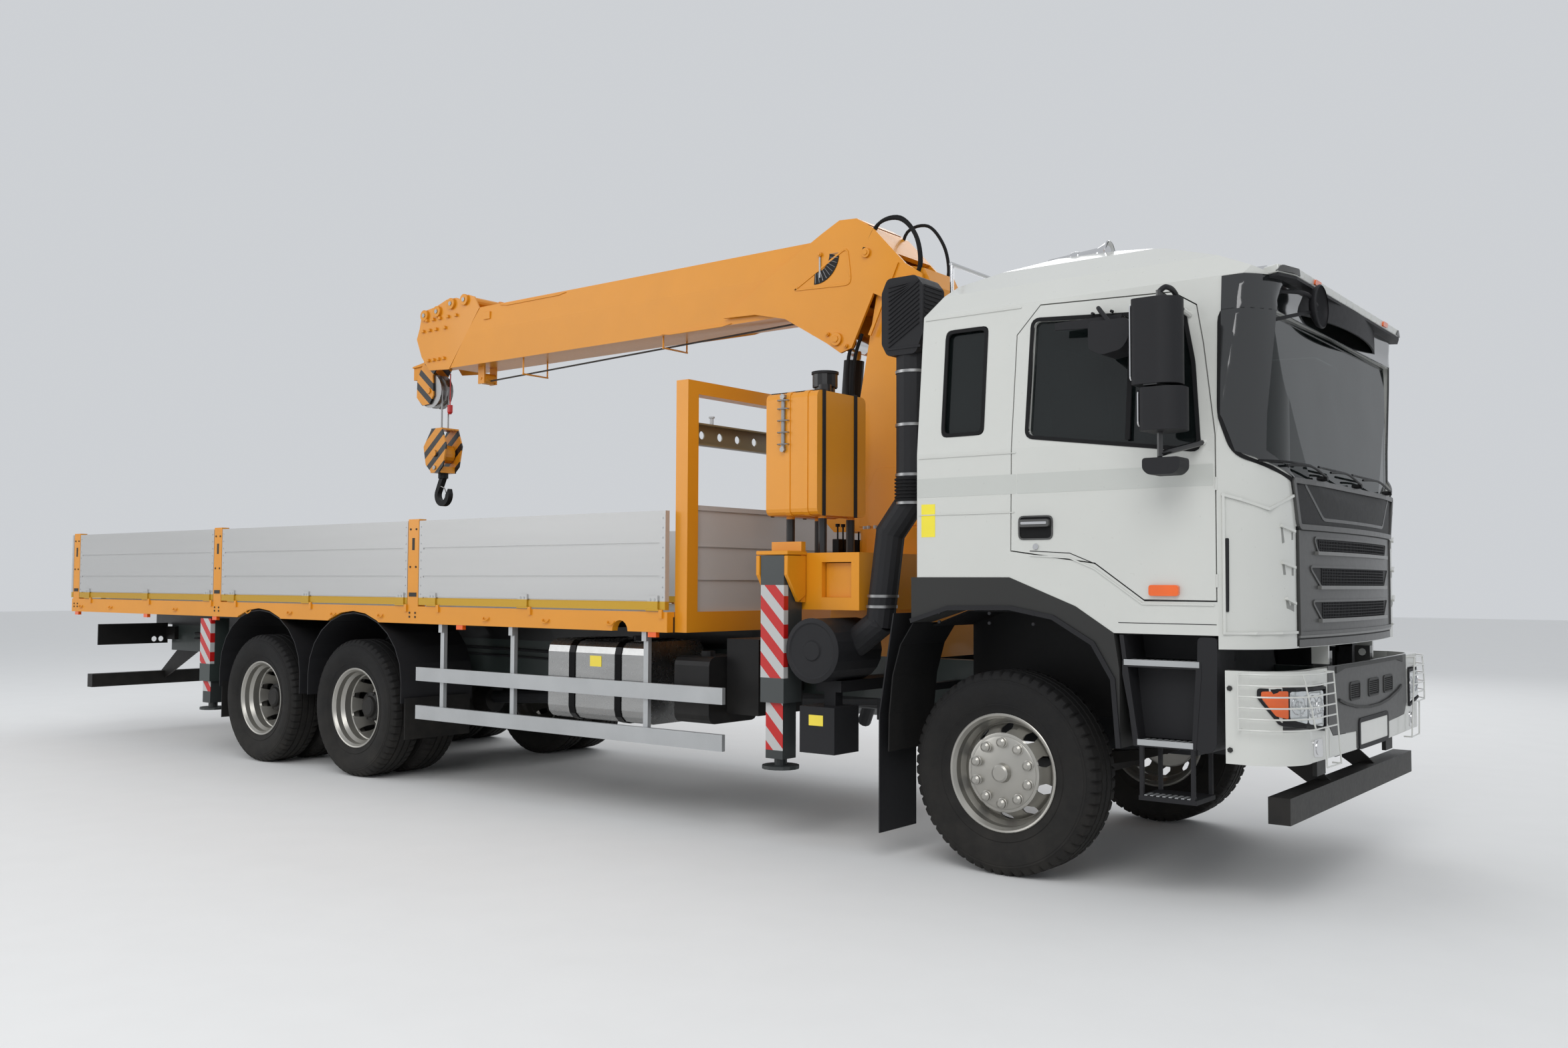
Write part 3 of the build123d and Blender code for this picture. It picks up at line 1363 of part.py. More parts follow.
def boom_base():
    """Base section with its root plates, winch and rope guides."""
    tube = boom_tube(0, boom_root_x, -6200, -5600)
    tube = tube - slant_cut(0)
    pieces = [tube]
    for side in (-1, 1):
        y0, y1 = sorted((side * root_plate_inner, side * root_plate_outer))
        pieces.append(plate_y(root_plate, y0, y1))
        fill0, fill1 = sorted((side * (boom_half - 16), side * (root_plate_inner + 1)))
        pieces.append(plate_y([(-1600, 3420), (-2250, 3420), (-2250, 3700), (-1600, 3780)], fill0, fill1))
    span = root_plate_inner + 1
    pieces.append(bar_y(62, luff_pin_x, luff_pin_z, -span, -84))
    pieces.append(bar_y(62, luff_pin_x, luff_pin_z, 84, span))
    pieces.append(bar_y(30, luff_pin_x, luff_pin_z, -span - 30, -84))
    pieces.append(bar_y(30, luff_pin_x, luff_pin_z, 84, span + 30))
    pieces.append(bar_y(winch_radius, winch_x, winch_z, -span, span))
    cover = [
        (-1470, 3862), (-1560, 3915), (-1700, 3925), (-1840, 3860), (-1840, 3835), (-1700, 3900),
        (-1560, 3890),
    ]
    back = [(-1500, 3876), (-1430, 3830), (-1250, 3636), (-1275, 3620), (-1450, 3805), (-1500, 3845)]
    pieces.append(plate_y(cover, -span, span))
    pieces.append(plate_y(back, -span, span))
    for x, low in ((-3375, 3262), (-4945, 3216)):
        for y in (-130, 130):
            pieces.append(bar_z(7, x, y, low, boom_bottom + 2))
        pieces.append(bar_y(7, x, low, -137, 137))
    for y0, y1 in ((-70, -55), (55, 70)):
        pieces.append(block(pulley_x - 40, pulley_x + 40, y0, y1, 3200, boom_bottom + 3))
    pieces.append(bar_y(48, pulley_x, 3245, -54, 54))
    pieces.append(bar_y(12, pulley_x, 3245, -75, 75))
    base = joined(pieces)
    shaft_room = bore_y(45 + hub_clearance, hinge_x, hinge_z, -400, 400)
    return base - shaft_room


inner_root_x = -1750.0
head_plate = (
    # x, z round the head plate of the last section
    (-5452.0, 3818.0), (-5520.0, 3925.0), (-5600.0, 3950.0), (-5700.0, 3925.0), (-5760.0, 3945.0),
    (-5888.0, 3945.0), (-6040.0, 3900.0), (-6226.0, 3880.0), (-6265.0, 3729.0), (-6301.0, 3643.0),
    (-6230.0, 3480.0), (-6121.0, 3352.0), (-5840.0, 3335.0),
)
head_inner = 172.0
head_outer = 184.0
head_pins = ((-6180.0, 3838.0), (-6006.0, 3853.0), (-5815.0, 3898.0), (-5637.0, 3910.0))


def boom_section(step, tip):
    """Plain inner section."""
    return boom_tube(step, inner_root_x - step * 20, tip, tip + 60)


def boom_tip():
    """Last section with the head plates, pins and sheave housing."""
    step = 3
    tube = boom_tube(step, inner_root_x - step * 20, -6200)
    pieces = [tube]
    for side in (-1, 1):
        y0, y1 = sorted((side * head_inner, side * head_outer))
        pieces.append(plate_y(head_plate, y0, y1) & slant_cut(-5))
        w = boom_half - step * section_step
        f0, f1 = sorted((side * (w - 12), side * (head_inner + 1)))
        pieces.append(block(-6150, -5900, f0, f1, 3450, 3720))
        a0, a1 = sorted((side * 70, side * 84))
        arm = [
            (-6200, 3640), (-6290, 3600), (-6330, 3455), (-6420, 3320), (-6425, 3150), (-6345, 3072),
            (-6240, 3080), (-6190, 3150), (-6200, 3330), (-6120, 3420), (-6120, 3560),
        ]
        pieces.append(plate_y(arm, a0, a1))
        t0, t1 = sorted((side * 70, side * (w + 1)))
        pieces.append(block(-6230, -6130, t0, t1, 3440, 3600))
    for x, z in head_pins:
        pieces.append(bar_y(38, x, z, -head_outer - 16, head_outer + 16))
    pieces.append(bar_y(26, sheave_x, sheave_z, -96, 96))
    return joined(pieces)


rope_radius = 8.0
fall_x = sheave_x + sheave_radius - 28


def head_sheave():
    """Head sheaves with the rope falls down to the block."""
    groove = sheave_radius - 22
    profile = [
        (0, -64), (0, 64), (sheave_radius, 64), (groove, 52), (groove, 16), (sheave_radius, 6),
        (sheave_radius, -6), (groove, -16), (groove, -52), (sheave_radius, -64),
    ]
    wheel = turned(profile, sheave_x, 0, sides_for(sheave_radius), sheave_z)
    wheel = wheel - bore_y(26 + hub_clearance, sheave_x, sheave_z, -70, 70)
    falls = []
    for y in (-34, 34):
        falls.append(bar_z(rope_radius, fall_x, y, block_top - 10, sheave_z))
    return joined([wheel] + falls)


def hook_block():
    """Lower block: two cheeks, its sheaves and the top guard."""
    top, low = block_top, block_bottom
    cheek = [
        (block_x - 60, top - 12), (block_x + 90, top - 12), (block_x + 150, 2700), (block_x + 110, 2520),
        (block_x + 45, low), (block_x - 45, low), (block_x - 130, 2540), (block_x - 165, 2700),
    ]
    pieces = []
    for side in (-1, 1):
        y0, y1 = sorted((side * 78, side * 92))
        pieces.append(plate_y(cheek, y0, y1))
    rope_holes = [bar_z(rope_radius + 2 * seat_gap, fall_x, y, top - 20, top + 5) for y in (-34, 34)]
    pieces.append(block(block_x - 60, block_x + 90, -92, 92, top - 14, top) - rope_holes)
    pieces.append(bar_y(80, block_x, 2635, -64, 64))
    pieces.append(bar_y(30, block_x, 2635, -110, 110))
    pieces.append(block(block_x - 60, block_x + 60, -92, 92, low, low + 55))
    return joined(pieces)


hook_throat_x, hook_throat_z = block_x + 10.0, 2272.0


def hook():
    """Swivel hook: nut, shank and a C-shaped bowl."""
    low = block_bottom - seat_gap
    nut = round_bar((block_x, 0, low - 45), (block_x, 0, low), 44)
    bowl_radius = 52.0
    outer_radius = 98.0
    cx, cz = hook_throat_x, hook_throat_z
    low_y = -24
    shank_back = (block_x - 26, low_y, low - 40)
    shank_front = (block_x + 26, low_y, low - 40)
    back_top = (cx - outer_radius + 14, low_y, cz + 50)
    beak_root = (cx + outer_radius, low_y, cz + 10)
    beak = (cx + outer_radius - 12, low_y, cz + 52)
    bowl_front = (cx + bowl_radius, low_y, cz)
    bowl_back = (cx - bowl_radius + 8, low_y, cz + 38)
    edges = [
        Line(shank_front, shank_back),
        Line(shank_back, back_top),
        ThreePointArc(back_top, (cx, low_y, cz - outer_radius), beak_root),
        Line(beak_root, beak),
        Line(beak, bowl_front),
        ThreePointArc(bowl_front, (cx - 12, low_y, cz - bowl_radius + 2), bowl_back),
        Line(bowl_back, shank_front),
    ]
    bowl = extrude(make_face(edges), amount=48, dir=(0, 1, 0))
    return nut + bowl


# Build and write every sub-part

os.makedirs("parts", exist_ok=True)

save("chassis_frame", chassis_frame())
save("front_axle", front_axle())
save("rear_axles", rear_axles())
save("driveline", *driveline())
save("bumper", bumper())
save("lamps", *lamps())
save("underrun_bars", *underrun_bars())
save("cab_steps", *cab_steps())
save("fuel_tank", fuel_tank())
save("service_boxes", *service_boxes())
save("air_intake", air_intake())
save("side_guards", *side_guards())
save("mudguards", *mudguards())
save("exhaust_and_air_tanks", *exhaust_and_air_tanks())
save("deck", deck())
save("headboard", headboard())
save("crane_base", crane_base())
save("oil_tank", oil_tank())

shell, door_right, panes, door_pane_right = cab_pieces()
save("cab_shell", shell)
save("cab_glass", *panes)
save("cab_trims", grille(), *both(arch_trim()))
save("sun_visor", sun_visor())
save("cab_interior", *cab_interior())
save("roof_gear", *roof_gear())
door_with_mirrors = joined([door_right] + door_mirrors())
save("door_right", door_with_mirrors)
save("door_left", mirrored(door_with_mirrors))
save("door_glass_right", door_pane_right)
save("door_glass_left", mirrored(door_pane_right))

for position, span, xs in zip(("front", "middle", "rear"), panel_spans(), panel_hinge_xs):
    side = drop_side(*span, xs)
    save(f"drop_side_{position}_right", side)
    save(f"drop_side_{position}_left", mirrored(side))
save("tailgate", tailgate())

right_knuckle = knuckle()
save("knuckle_right", right_knuckle)
save("knuckle_left", mirrored(right_knuckle))
front_pieces = front_wheel()
save("wheel_front_right", *front_pieces)
save("wheel_front_left", *[mirrored(piece) for piece in front_pieces])
for position, x in zip(("middle", "rear"), rear_axle_xs):
    rear_pieces = rear_wheel(x)
    save(f"wheel_{position}_right", *rear_pieces)
    save(f"wheel_{position}_left", *[mirrored(piece) for piece in rear_pieces])

save("outrigger_right", outrigger(beam_right_x))
save("outrigger_left", mirrored(outrigger(beam_left_x)))
save("front_jack_right", front_jack(beam_right_x))
save("front_jack_left", mirrored(front_jack(beam_left_x)))
save("rear_jack_right", rear_jack())
save("rear_jack_left", mirrored(rear_jack()))

save("column", column())
save("luff_barrel", luff_barrel())
save("luff_rod", luff_rod())
save("boom_base", boom_base())
save("boom_section_2", boom_section(1, -5820))
save("boom_section_3", boom_section(2, -5860))
save("boom_tip", boom_tip())
save("head_sheave", head_sheave())
save("hook_block", hook_block())
save("hook", hook())
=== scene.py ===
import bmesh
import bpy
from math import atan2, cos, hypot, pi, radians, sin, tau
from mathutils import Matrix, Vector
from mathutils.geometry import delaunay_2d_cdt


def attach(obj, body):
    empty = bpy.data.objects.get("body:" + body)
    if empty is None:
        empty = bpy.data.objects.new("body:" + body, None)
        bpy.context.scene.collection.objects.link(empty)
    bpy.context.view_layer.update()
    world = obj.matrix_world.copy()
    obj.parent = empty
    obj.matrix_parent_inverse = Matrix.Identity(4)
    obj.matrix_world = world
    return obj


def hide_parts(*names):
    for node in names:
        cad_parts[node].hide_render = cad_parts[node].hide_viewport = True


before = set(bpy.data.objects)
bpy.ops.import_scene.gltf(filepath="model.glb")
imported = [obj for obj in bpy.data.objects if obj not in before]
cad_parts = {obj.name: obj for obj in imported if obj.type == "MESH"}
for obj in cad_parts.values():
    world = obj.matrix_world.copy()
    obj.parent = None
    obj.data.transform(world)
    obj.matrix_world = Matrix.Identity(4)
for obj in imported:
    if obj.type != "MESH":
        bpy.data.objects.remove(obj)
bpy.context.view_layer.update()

# %% [markdown]
# # A truck-mounted crane, dressed from its CAD model
# The frame that was just loaded holds every load-bearing piece of the truck in its true size and
# place. This notebook gives those pieces their finishes, and adds what a workshop adds last: tyre
# tread, bolts, seals, guards, hoses, lamps and stripes. Each step says what a piece is, how else it
# could be made, and why this way was taken.

# %% [markdown]
# ## Where things are
# The photo was measured in millimetres from the front axle, because its hub is the sharpest point in
# it. The model's origin is on the ground under the middle of the truck, 4.455 m further back. Writing
# every place in the measured numbers keeps them easy to check, and one function turns them into the
# model's metres.

# %% Places in millimetres from the front axle
FRONT_AXLE_X = 4.455
MM = 0.001


def at(x, y, z):
    """A place in the model's frame, from millimetres behind or before the front axle."""
    return Vector((x * MM + FRONT_AXLE_X, y * MM, z * MM))


print("front axle:", tuple(round(c, 3) for c in at(0, 0, 530)))

# %% [markdown]
# ## A small kit for building pieces
# Blender's own add-mesh tools make one object a call. A truck has hundreds of small parts, so a piece
# here is collected first, as boxes, rods, prisms and turned shapes, and becomes one object at the
# end. That keeps the list of pieces short and lets like parts share a body and a material.

# %% Shape: collects simple solids for one piece
BLOCK_SIDES = [(0, 1, 3, 2), (4, 6, 7, 5), (0, 4, 5, 1), (2, 3, 7, 6), (0, 2, 6, 4), (1, 5, 7, 3)]


def around(count, radius, start=0.0):
    """Offsets of places spread evenly on a circle."""
    turns = [tau * (i + start) / count for i in range(count)]
    return [(radius * cos(turn), radius * sin(turn)) for turn in turns]


class Shape:
    """Simple solids in millimetres from the front axle, collected for one piece."""

    def __init__(self):
        self.verts, self.faces = [], []

    def add(self, verts, faces):
        base = len(self.verts)
        self.verts += [tuple(v) for v in verts]
        self.faces += [tuple(base + i for i in face) for face in faces]
        return self

    def box(self, x0, x1, y0, y1, z0, z1):
        corners = [(x, y, z) for x in (x0, x1) for y in (y0, y1) for z in (z0, z1)]
        return self.add(corners, BLOCK_SIDES)

    def prism(self, outline, axis, low, high):
        """Closed outline in the other two axes, in X, Y, Z order, thick from low to high."""
        def place(a, b, c):
            return {"x": (c, a, b), "y": (a, c, b), "z": (a, b, c)}[axis]
        n = len(outline)
        verts = [place(a, b, low) for a, b in outline] + [place(a, b, high) for a, b in outline]
        flat = delaunay_2d_cdt([Vector(p) for p in outline], [], [list(range(n))], 1, 1e-4)[2]
        caps = [tuple(t) for t in flat] + [tuple(n + i for i in t) for t in flat]
        walls = [(i, (i + 1) % n, n + (i + 1) % n, n + i) for i in range(n)]
        return self.add(verts, caps + walls)

    def rod(self, start, end, radius, sides=12, end_radius=None):
        """Round bar or cone between two points."""
        a, b = Vector(start), Vector(end)
        along = (b - a).normalized()
        across = along.orthogonal().normalized()
        third = along.cross(across)
        tip = radius if end_radius is None else end_radius
        ends = ((a, radius), (b, tip))
        verts = [centre + across * p + third * q for centre, r in ends for p, q in around(sides, r)]
        walls = [(i, (i + 1) % sides, sides + (i + 1) % sides, sides + i) for i in range(sides)]
        caps = [tuple(range(sides)), tuple(range(sides, 2 * sides))]
        return self.add(verts, walls + caps)

    def turn(self, profile, centre, axis="y", sides=32, closed=True):
        """Profile of (radius, along) points turned about an axis through the centre."""
        cx, cy, cz = centre
        verts = []
        for i in range(sides):
            c, s = cos(tau * i / sides), sin(tau * i / sides)
            for r, w in profile:
                spots = {"x": (cx + w, cy + r * c, cz + r * s), "y": (cx + r * c, cy + w, cz + r * s),
                         "z": (cx + r * c, cy + r * s, cz + w)}
                verts.append(spots[axis])
        n = len(profile)
        steps = n if closed else n - 1
        walls = []
        for i in range(sides):
            j = (i + 1) % sides
            for k in range(steps):
                m = (k + 1) % n
                walls.append((i * n + k, i * n + m, j * n + m, j * n + k))
        return self.add(verts, walls)

    def tube(self, points, radius, sides=10, smooth=6, closed=False):
        """Pipe along a line through the points, its bends softened."""
        line = soft_line(points, smooth, closed)
        circle = around(sides, radius)
        verts = [centre + across * p + third * q for centre, across, third in carried_frames(line, closed)
                 for p, q in circle]
        rings = len(line)
        walls = []
        for k in range(rings if closed else rings - 1):
            m = (k + 1) % rings
            for i in range(sides):
                j = (i + 1) % sides
                walls.append((k * sides + i, k * sides + j, m * sides + j, m * sides + i))
        caps = [] if closed else [tuple(range(sides)), tuple((rings - 1) * sides + i for i in range(sides))]
        return self.add(verts, walls + caps)

    def mirrored(self):
        """The same solids on both sides of the truck."""
        return self.add([(x, -y, z) for x, y, z in self.verts], list(self.faces))

    def piece(self, name, body, material, bevel=0.0, angle=32):
        """Make the object, let it ride on a body, and give it a finish."""
        mesh = bpy.data.meshes.new(name)
        mesh.from_pydata([at(*v) for v in self.verts], [], self.faces)
        form = bmesh.new()
        form.from_mesh(mesh)
        bmesh.ops.recalc_face_normals(form, faces=form.faces)
        form.to_mesh(mesh)
        form.free()
        mesh.shade_smooth()
        mesh.set_sharp_from_angle(angle=radians(angle))
        obj = bpy.data.objects.new(name, mesh)
        bpy.context.scene.collection.objects.link(obj)
        mesh.materials.append(material)
        if bevel:
            edge = obj.modifiers.new("edge", "BEVEL")
            edge.width = bevel * MM
            edge.segments = 2
            edge.limit_method = "ANGLE"
            edge.angle_limit = radians(40)
            edge.use_clamp_overlap = True
        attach(obj, body)
        made.append(obj)
        return obj


made = []
RIGHT_AND_LEFT = (("right", 1), ("left", -1))


def soft_line(points, smooth, closed):
    """Points on a Catmull-Rom line through the given points."""
    pts = [Vector(p) for p in points]
    if smooth < 2 or len(pts) < 3:
        return pts
    count = len(pts)
    line = []
    for k in range(count if closed else count - 1):
        if closed:
            p0, p1, p2, p3 = (pts[(k + d) % count] for d in (-1, 0, 1, 2))
        else:
            p0, p1, p2, p3 = (pts[min(max(k + d, 0), count - 1)] for d in (-1, 0, 1, 2))
        for step in range(smooth):
            t = step / smooth
            a = 2 * p1
            b = (p2 - p0) * t
            c = (2 * p0 - 5 * p1 + 4 * p2 - p3) * t * t
            d = (3 * p1 - p0 - 3 * p2 + p3) * t * t * t
            line.append((a + b + c + d) / 2)
    return line if closed else line + [pts[-1]]


def carried_frames(line, closed):
    """Each point of the line with two directions across it, carried along so that the pipe doesn't twist."""
    frames = []
    across = None
    count = len(line)
    for k, point in enumerate(line):
        if closed:
            along = line[(k + 1) % count] - line[k - 1]
        else:
            along = line[min(k + 1, count - 1)] - line[max(k - 1, 0)]
        along.normalize()
        if across is None:
            across = along.orthogonal().normalized()
        across = (across - along * across.dot(along)).normalized()
        frames.append((point, across, along.cross(across)))
    return frames


print("kit ready: box, prism, rod, turn, tube")

# %% [markdown]
# ## Finishes
# One flat colour looks like plastic under any light. Real paint has a slight unevenness of tone and
# gloss, some dust and a fine ripple, so every finish is a small net of nodes: a noise moves the
# colour and the roughness a little, and in some finishes another makes a faint bump. A finish that has
# areas of another colour, such as a stripe, picks them by place on the piece, so the stripe moves with
# the piece and needs no picture.

# %% Finish maker
def linear(colour):
    """Screen colour from 0 to 255 turned into the linear values that light is computed in."""
    values = []
    for c in colour:
        c = c / 255
        values.append(c / 12.92 if c <= 0.04045 else ((c + 0.055) / 1.055) ** 2.4)
    return (*values, 1.0)


class Net:
    """Short words for building a material's nodes."""

    def __init__(self, name):
        self.material = bpy.data.materials.new(name)
        self.material.use_nodes = True
        self.tree = self.material.node_tree
        self.tree.nodes.clear()
        self.out = self.node("ShaderNodeOutputMaterial")
        self.shader = self.node("ShaderNodeBsdfPrincipled")
        self.link(self.shader.outputs["BSDF"], self.out.inputs["Surface"])
        self.place = self.node("ShaderNodeTexCoord").outputs["Object"]

    def node(self, kind, **values):
        made_node = self.tree.nodes.new(kind)
        for key, value in values.items():
            setattr(made_node, key, value)
        return made_node

    def link(self, a, b):
        self.tree.links.new(a, b)

    def math(self, operation, a, b=0.0, clamp=False):
        """One sum on sockets or numbers."""
        sum_node = self.node("ShaderNodeMath", operation=operation, use_clamp=clamp)
        for socket, value in zip(sum_node.inputs, (a, b)):
            if isinstance(value, (int, float)):
                socket.default_value = value
            else:
                self.link(value, socket)
        return sum_node.outputs[0]

    def mix(self, factor, a, b):
        """Blend two colours, each a socket or a screen colour."""
        blend = self.node("ShaderNodeMix", data_type="RGBA")
        if isinstance(factor, (int, float)):
            blend.inputs["Factor"].default_value = factor
        else:
            self.link(factor, blend.inputs["Factor"])
        for socket, value in ((blend.inputs["A"], a), (blend.inputs["B"], b)):
            if isinstance(value, tuple):
                socket.default_value = linear(value)
            else:
                self.link(value, socket)
        return blend.outputs["Result"]

    def noise(self, scale, detail=4.0, stretch=(1, 1, 1)):
        """Noise in the piece's own space."""
        stretched = self.node("ShaderNodeMapping")
        stretched.inputs["Scale"].default_value = stretch
        self.link(self.place, stretched.inputs["Vector"])
        cloud = self.node("ShaderNodeTexNoise")
        cloud.inputs["Scale"].default_value = scale
        cloud.inputs["Detail"].default_value = detail
        self.link(stretched.outputs["Vector"], cloud.inputs["Vector"])
        return cloud.outputs["Fac"]

    def axis(self, name):
        """One coordinate of the piece, in metres of the model."""
        split = self.node("ShaderNodeSeparateXYZ")
        self.link(self.place, split.inputs[0])
        return split.outputs[name]

    def inside(self, name, low, high):
        """1 between two places along an axis, in millimetres from the front axle, 0 elsewhere."""
        shift = FRONT_AXLE_X if name in ("X", "|X|") else 0.0
        value = self.axis(name.strip("|"))
        if name.startswith("|"):
            value = self.math("ABSOLUTE", value)
        above = self.math("GREATER_THAN", value, low * MM + shift)
        below = self.math("LESS_THAN", value, high * MM + shift)
        return self.math("MULTIPLY", above, below)


def finish(name, colour, roughness=0.4, metallic=0.0, coat=0.0, uneven=0.06, bump=0.0, bump_scale=300.0,
           dust=0.0, areas=(), stretch=(1, 1, 1), shine=0.5):
    """Painted, plastic or metal finish.

    Each area is (colour, limits), and each limit is (axis, low, high) or ("stripe", direction, pitch, share).
    """
    net = Net(name)
    darker = tuple(c * (1 - uneven) for c in colour)
    lighter = tuple(min(255, c * (1 + uneven)) for c in colour)
    shade = net.mix(net.noise(3.0, 6.0, stretch), darker, lighter)
    for area_colour, limits in areas:
        factor = None
        for limit in limits:
            if limit[0] == "stripe":
                part = stripe_factor(net, *limit[1:])
            else:
                part = net.inside(*limit)
            factor = part if factor is None else net.math("MULTIPLY", factor, part)
        shade = net.mix(factor, shade, area_colour)
    if dust:
        low = net.math("SUBTRACT", 1.0, net.math("DIVIDE", net.axis("Z"), 1.2), clamp=True)
        speck = net.math("MULTIPLY", low, net.math("MULTIPLY", net.noise(9.0, 8.0), dust))
        shade = net.mix(speck, shade, (150, 142, 128))
    net.link(shade, net.shader.inputs["Base Color"])
    fine = net.noise(40.0, 3.0)
    gloss = net.math("ADD", net.math("MULTIPLY", fine, 0.12), roughness - 0.06)
    net.link(gloss, net.shader.inputs["Roughness"])
    net.shader.inputs["Metallic"].default_value = metallic
    net.shader.inputs["Specular IOR Level"].default_value = shine
    net.shader.inputs["Coat Weight"].default_value = coat
    net.shader.inputs["Coat Roughness"].default_value = 0.08
    if bump:
        relief = net.node("ShaderNodeBump")
        relief.inputs["Strength"].default_value = bump
        relief.inputs["Distance"].default_value = 0.002
        net.link(net.noise(bump_scale, 4.0, stretch), relief.inputs["Height"])
        net.link(relief.outputs["Normal"], net.shader.inputs["Normal"])
    return net.material


def stripe_factor(net, direction, pitch, share):
    """Bands across a direction, one for each pitch in millimetres, as wide as their share of it."""
    total = None
    for name, weight in zip("XYZ", direction):
        if weight:
            part = net.math("MULTIPLY", net.axis(name), weight / (pitch * MM))
            total = part if total is None else net.math("ADD", total, part)
    return net.math("LESS_THAN", net.math("FRACT", total), share)


print("finish maker ready")

# %% [markdown]
# ## The truck's finishes
# The crane and the frame of the bed are golden-yellow paint, the boards are silver, the cab is
# off-white. Under the floor nearly everything is black paint or black plastic, with some dust on it.
# Tyres could be given a picture of a tread, but theirs is real relief, so their finish is only worn
# rubber.

# %% Finishes
YELLOW, SILVER, WHITE = (218, 142, 24), (184, 184, 183), (202, 203, 198)
DARK, BLACK, RED = (58, 58, 57), (24, 24, 25), (186, 26, 24)
RAIL_OCHRE = (190, 148, 36)

yellow_paint = finish("yellow_paint", YELLOW, 0.38, coat=0.15, uneven=0.03, shine=0.35)
cab_paint = finish("cab_paint", WHITE, 0.30, coat=0.6, uneven=0.015)
black_paint = finish("black_paint", BLACK, 0.45, uneven=0.2, dust=0.12, shine=0.2)
black_plastic = finish("black_plastic", (37, 37, 39), 0.55, uneven=0.08, bump=0.15, bump_scale=700, shine=0.2)
dark_plastic = finish("dark_plastic", (52, 52, 51), 0.5, uneven=0.05, bump=0.1, bump_scale=600, shine=0.2)
rubber = finish("rubber", BLACK, 0.75, uneven=0.25, bump=0.3, bump_scale=160, dust=0.10, shine=0.2)
steel = finish("steel", (150, 150, 150), 0.35, metallic=0.9, uneven=0.1)
galvanised = finish("galvanised", (175, 177, 178), 0.45, metallic=0.6, uneven=0.08, bump=0.1, bump_scale=90)
chrome = finish("chrome", (215, 215, 216), 0.12, metallic=1.0, uneven=0.03)
rim_silver = finish("rim_silver", (170, 168, 162), 0.34, metallic=0.75, uneven=0.12, dust=0.2)
rope_wire = finish("rope_wire", (70, 68, 66), 0.5, metallic=0.5, bump=0.4, bump_scale=900)
engine_grey = finish("engine_grey", (52, 53, 55), 0.6, metallic=0.3, uneven=0.3, bump=0.2, bump_scale=60)
lining = finish("lining", (62, 62, 66), 0.85, uneven=0.15, bump=0.3, bump_scale=500)
orange_lens = finish("orange_lens", (235, 96, 24), 0.15, coat=0.8, uneven=0.15, bump=0.2, bump_scale=500)
red_lens = finish("red_lens", (190, 24, 20), 0.15, coat=0.8, uneven=0.15, bump=0.2, bump_scale=500)
clear_lens = finish("clear_lens", (208, 212, 214), 0.12, metallic=0.5, coat=1.0, uneven=0.1)
print(len(bpy.data.materials), "finishes")

# %% [markdown]
# ## Finishes that change by area
# The boards carry an ochre rail, the legs have red hazard stripes and the hook block black ones, and
# the fuel tank has black straps. Each could be a thin piece of its own, or a painted picture. A rule
# on the piece's own coordinates is exact, needs no unwrapping, and the stripe stays on its piece when
# that piece slides or turns.

# %% Finishes that change by area
JACK_FACE = ("|Y|", 1200, 1300)
JACK_STRIPES = ("stripe", (1.0, 0, 1.0), 165, 0.5)
HEAD_STRIPES = ("stripe", (0.8, 0, 1.0), 150, 0.45)
BLOCK_STRIPES = ("stripe", (-0.8, 0, 1.0), 150, 0.45)


def yellow_with(name, *areas):
    """Crane yellow with areas of other colours."""
    return finish(name, YELLOW, 0.38, coat=0.15, uneven=0.03, areas=areas)


def white_with(name, *areas):
    """Cab white with areas of other colours."""
    return finish(name, WHITE, 0.30, coat=0.6, uneven=0.015, areas=areas)


def striped(low, high, face=JACK_FACE):
    """Silver field with red stripes between two heights."""
    return (SILVER, [("Z", low, high), face]), (RED, [("Z", low, high), face, JACK_STRIPES])


bumper_paint = white_with("bumper_paint", (DARK, [("|Y|", -1, 745), ("Z", 860, 1200)]),
                          (DARK, [("|Y|", -1, 310), ("Z", 600, 860)]))
door_paint = white_with("door_paint", (BLACK, [("|Y|", 1258, 1700)]))
lamp_units = finish("lamp_units", (40, 40, 42), 0.2, coat=0.8, areas=[
    ((190, 24, 20), [("X", -10500, -9900), ("|Y|", -1, 1100)]),
    ((235, 96, 24), [("|Y|", 1210, 1260), ("X", -11000, 0)])])
tank_straps = [(BLACK, [("X", -3209, -3151)]), (BLACK, [("X", -2779, -2721)])]
tank_brackets = [(BLACK, [("Z", 1132, 1300)]), (BLACK, [("|Y|", 0, 600)])]
tank_metal = finish("tank_metal", (158, 158, 157), 0.26, metallic=0.95, uneven=0.06, stretch=(1, 1, 6),
                    areas=tank_straps + tank_brackets)
deck_paint = yellow_with("deck_paint", ((96, 92, 86), [("|Y|", -1, 1184), ("Z", 1290, 1400)]),
                         (BLACK, [("|Y|", -1, 1195), ("Z", 1000, 1296)]))
headboard_paint = yellow_with("headboard_paint", (SILVER, [("|Y|", -1, 1079), ("Z", 1329, 2001)]),
                              ((120, 108, 80), [("|Y|", -1, 1079), ("Z", 2380, 2530)]))
board_paint = finish("board_paint", SILVER, 0.38, metallic=0.35, uneven=0.02, stretch=(0.2, 1, 3), areas=[
    (RAIL_OCHRE, [("Z", 1300, 1393)])])
oil_tank_paint = yellow_with("oil_tank_paint", (BLACK, [("Z", 2646, 3000)]), (BLACK, [("Z", 1600, 1895)]))
leg_paint = finish("leg_paint", (58, 62, 62), 0.4, coat=0.2, areas=[
    *striped(960, 1500), (YELLOW, [("Z", 1400, 1900), ("|Y|", -1, 1112)])])
rear_leg_paint = finish("rear_leg_paint", (48, 56, 54), 0.4, coat=0.2, areas=striped(783, 1180))
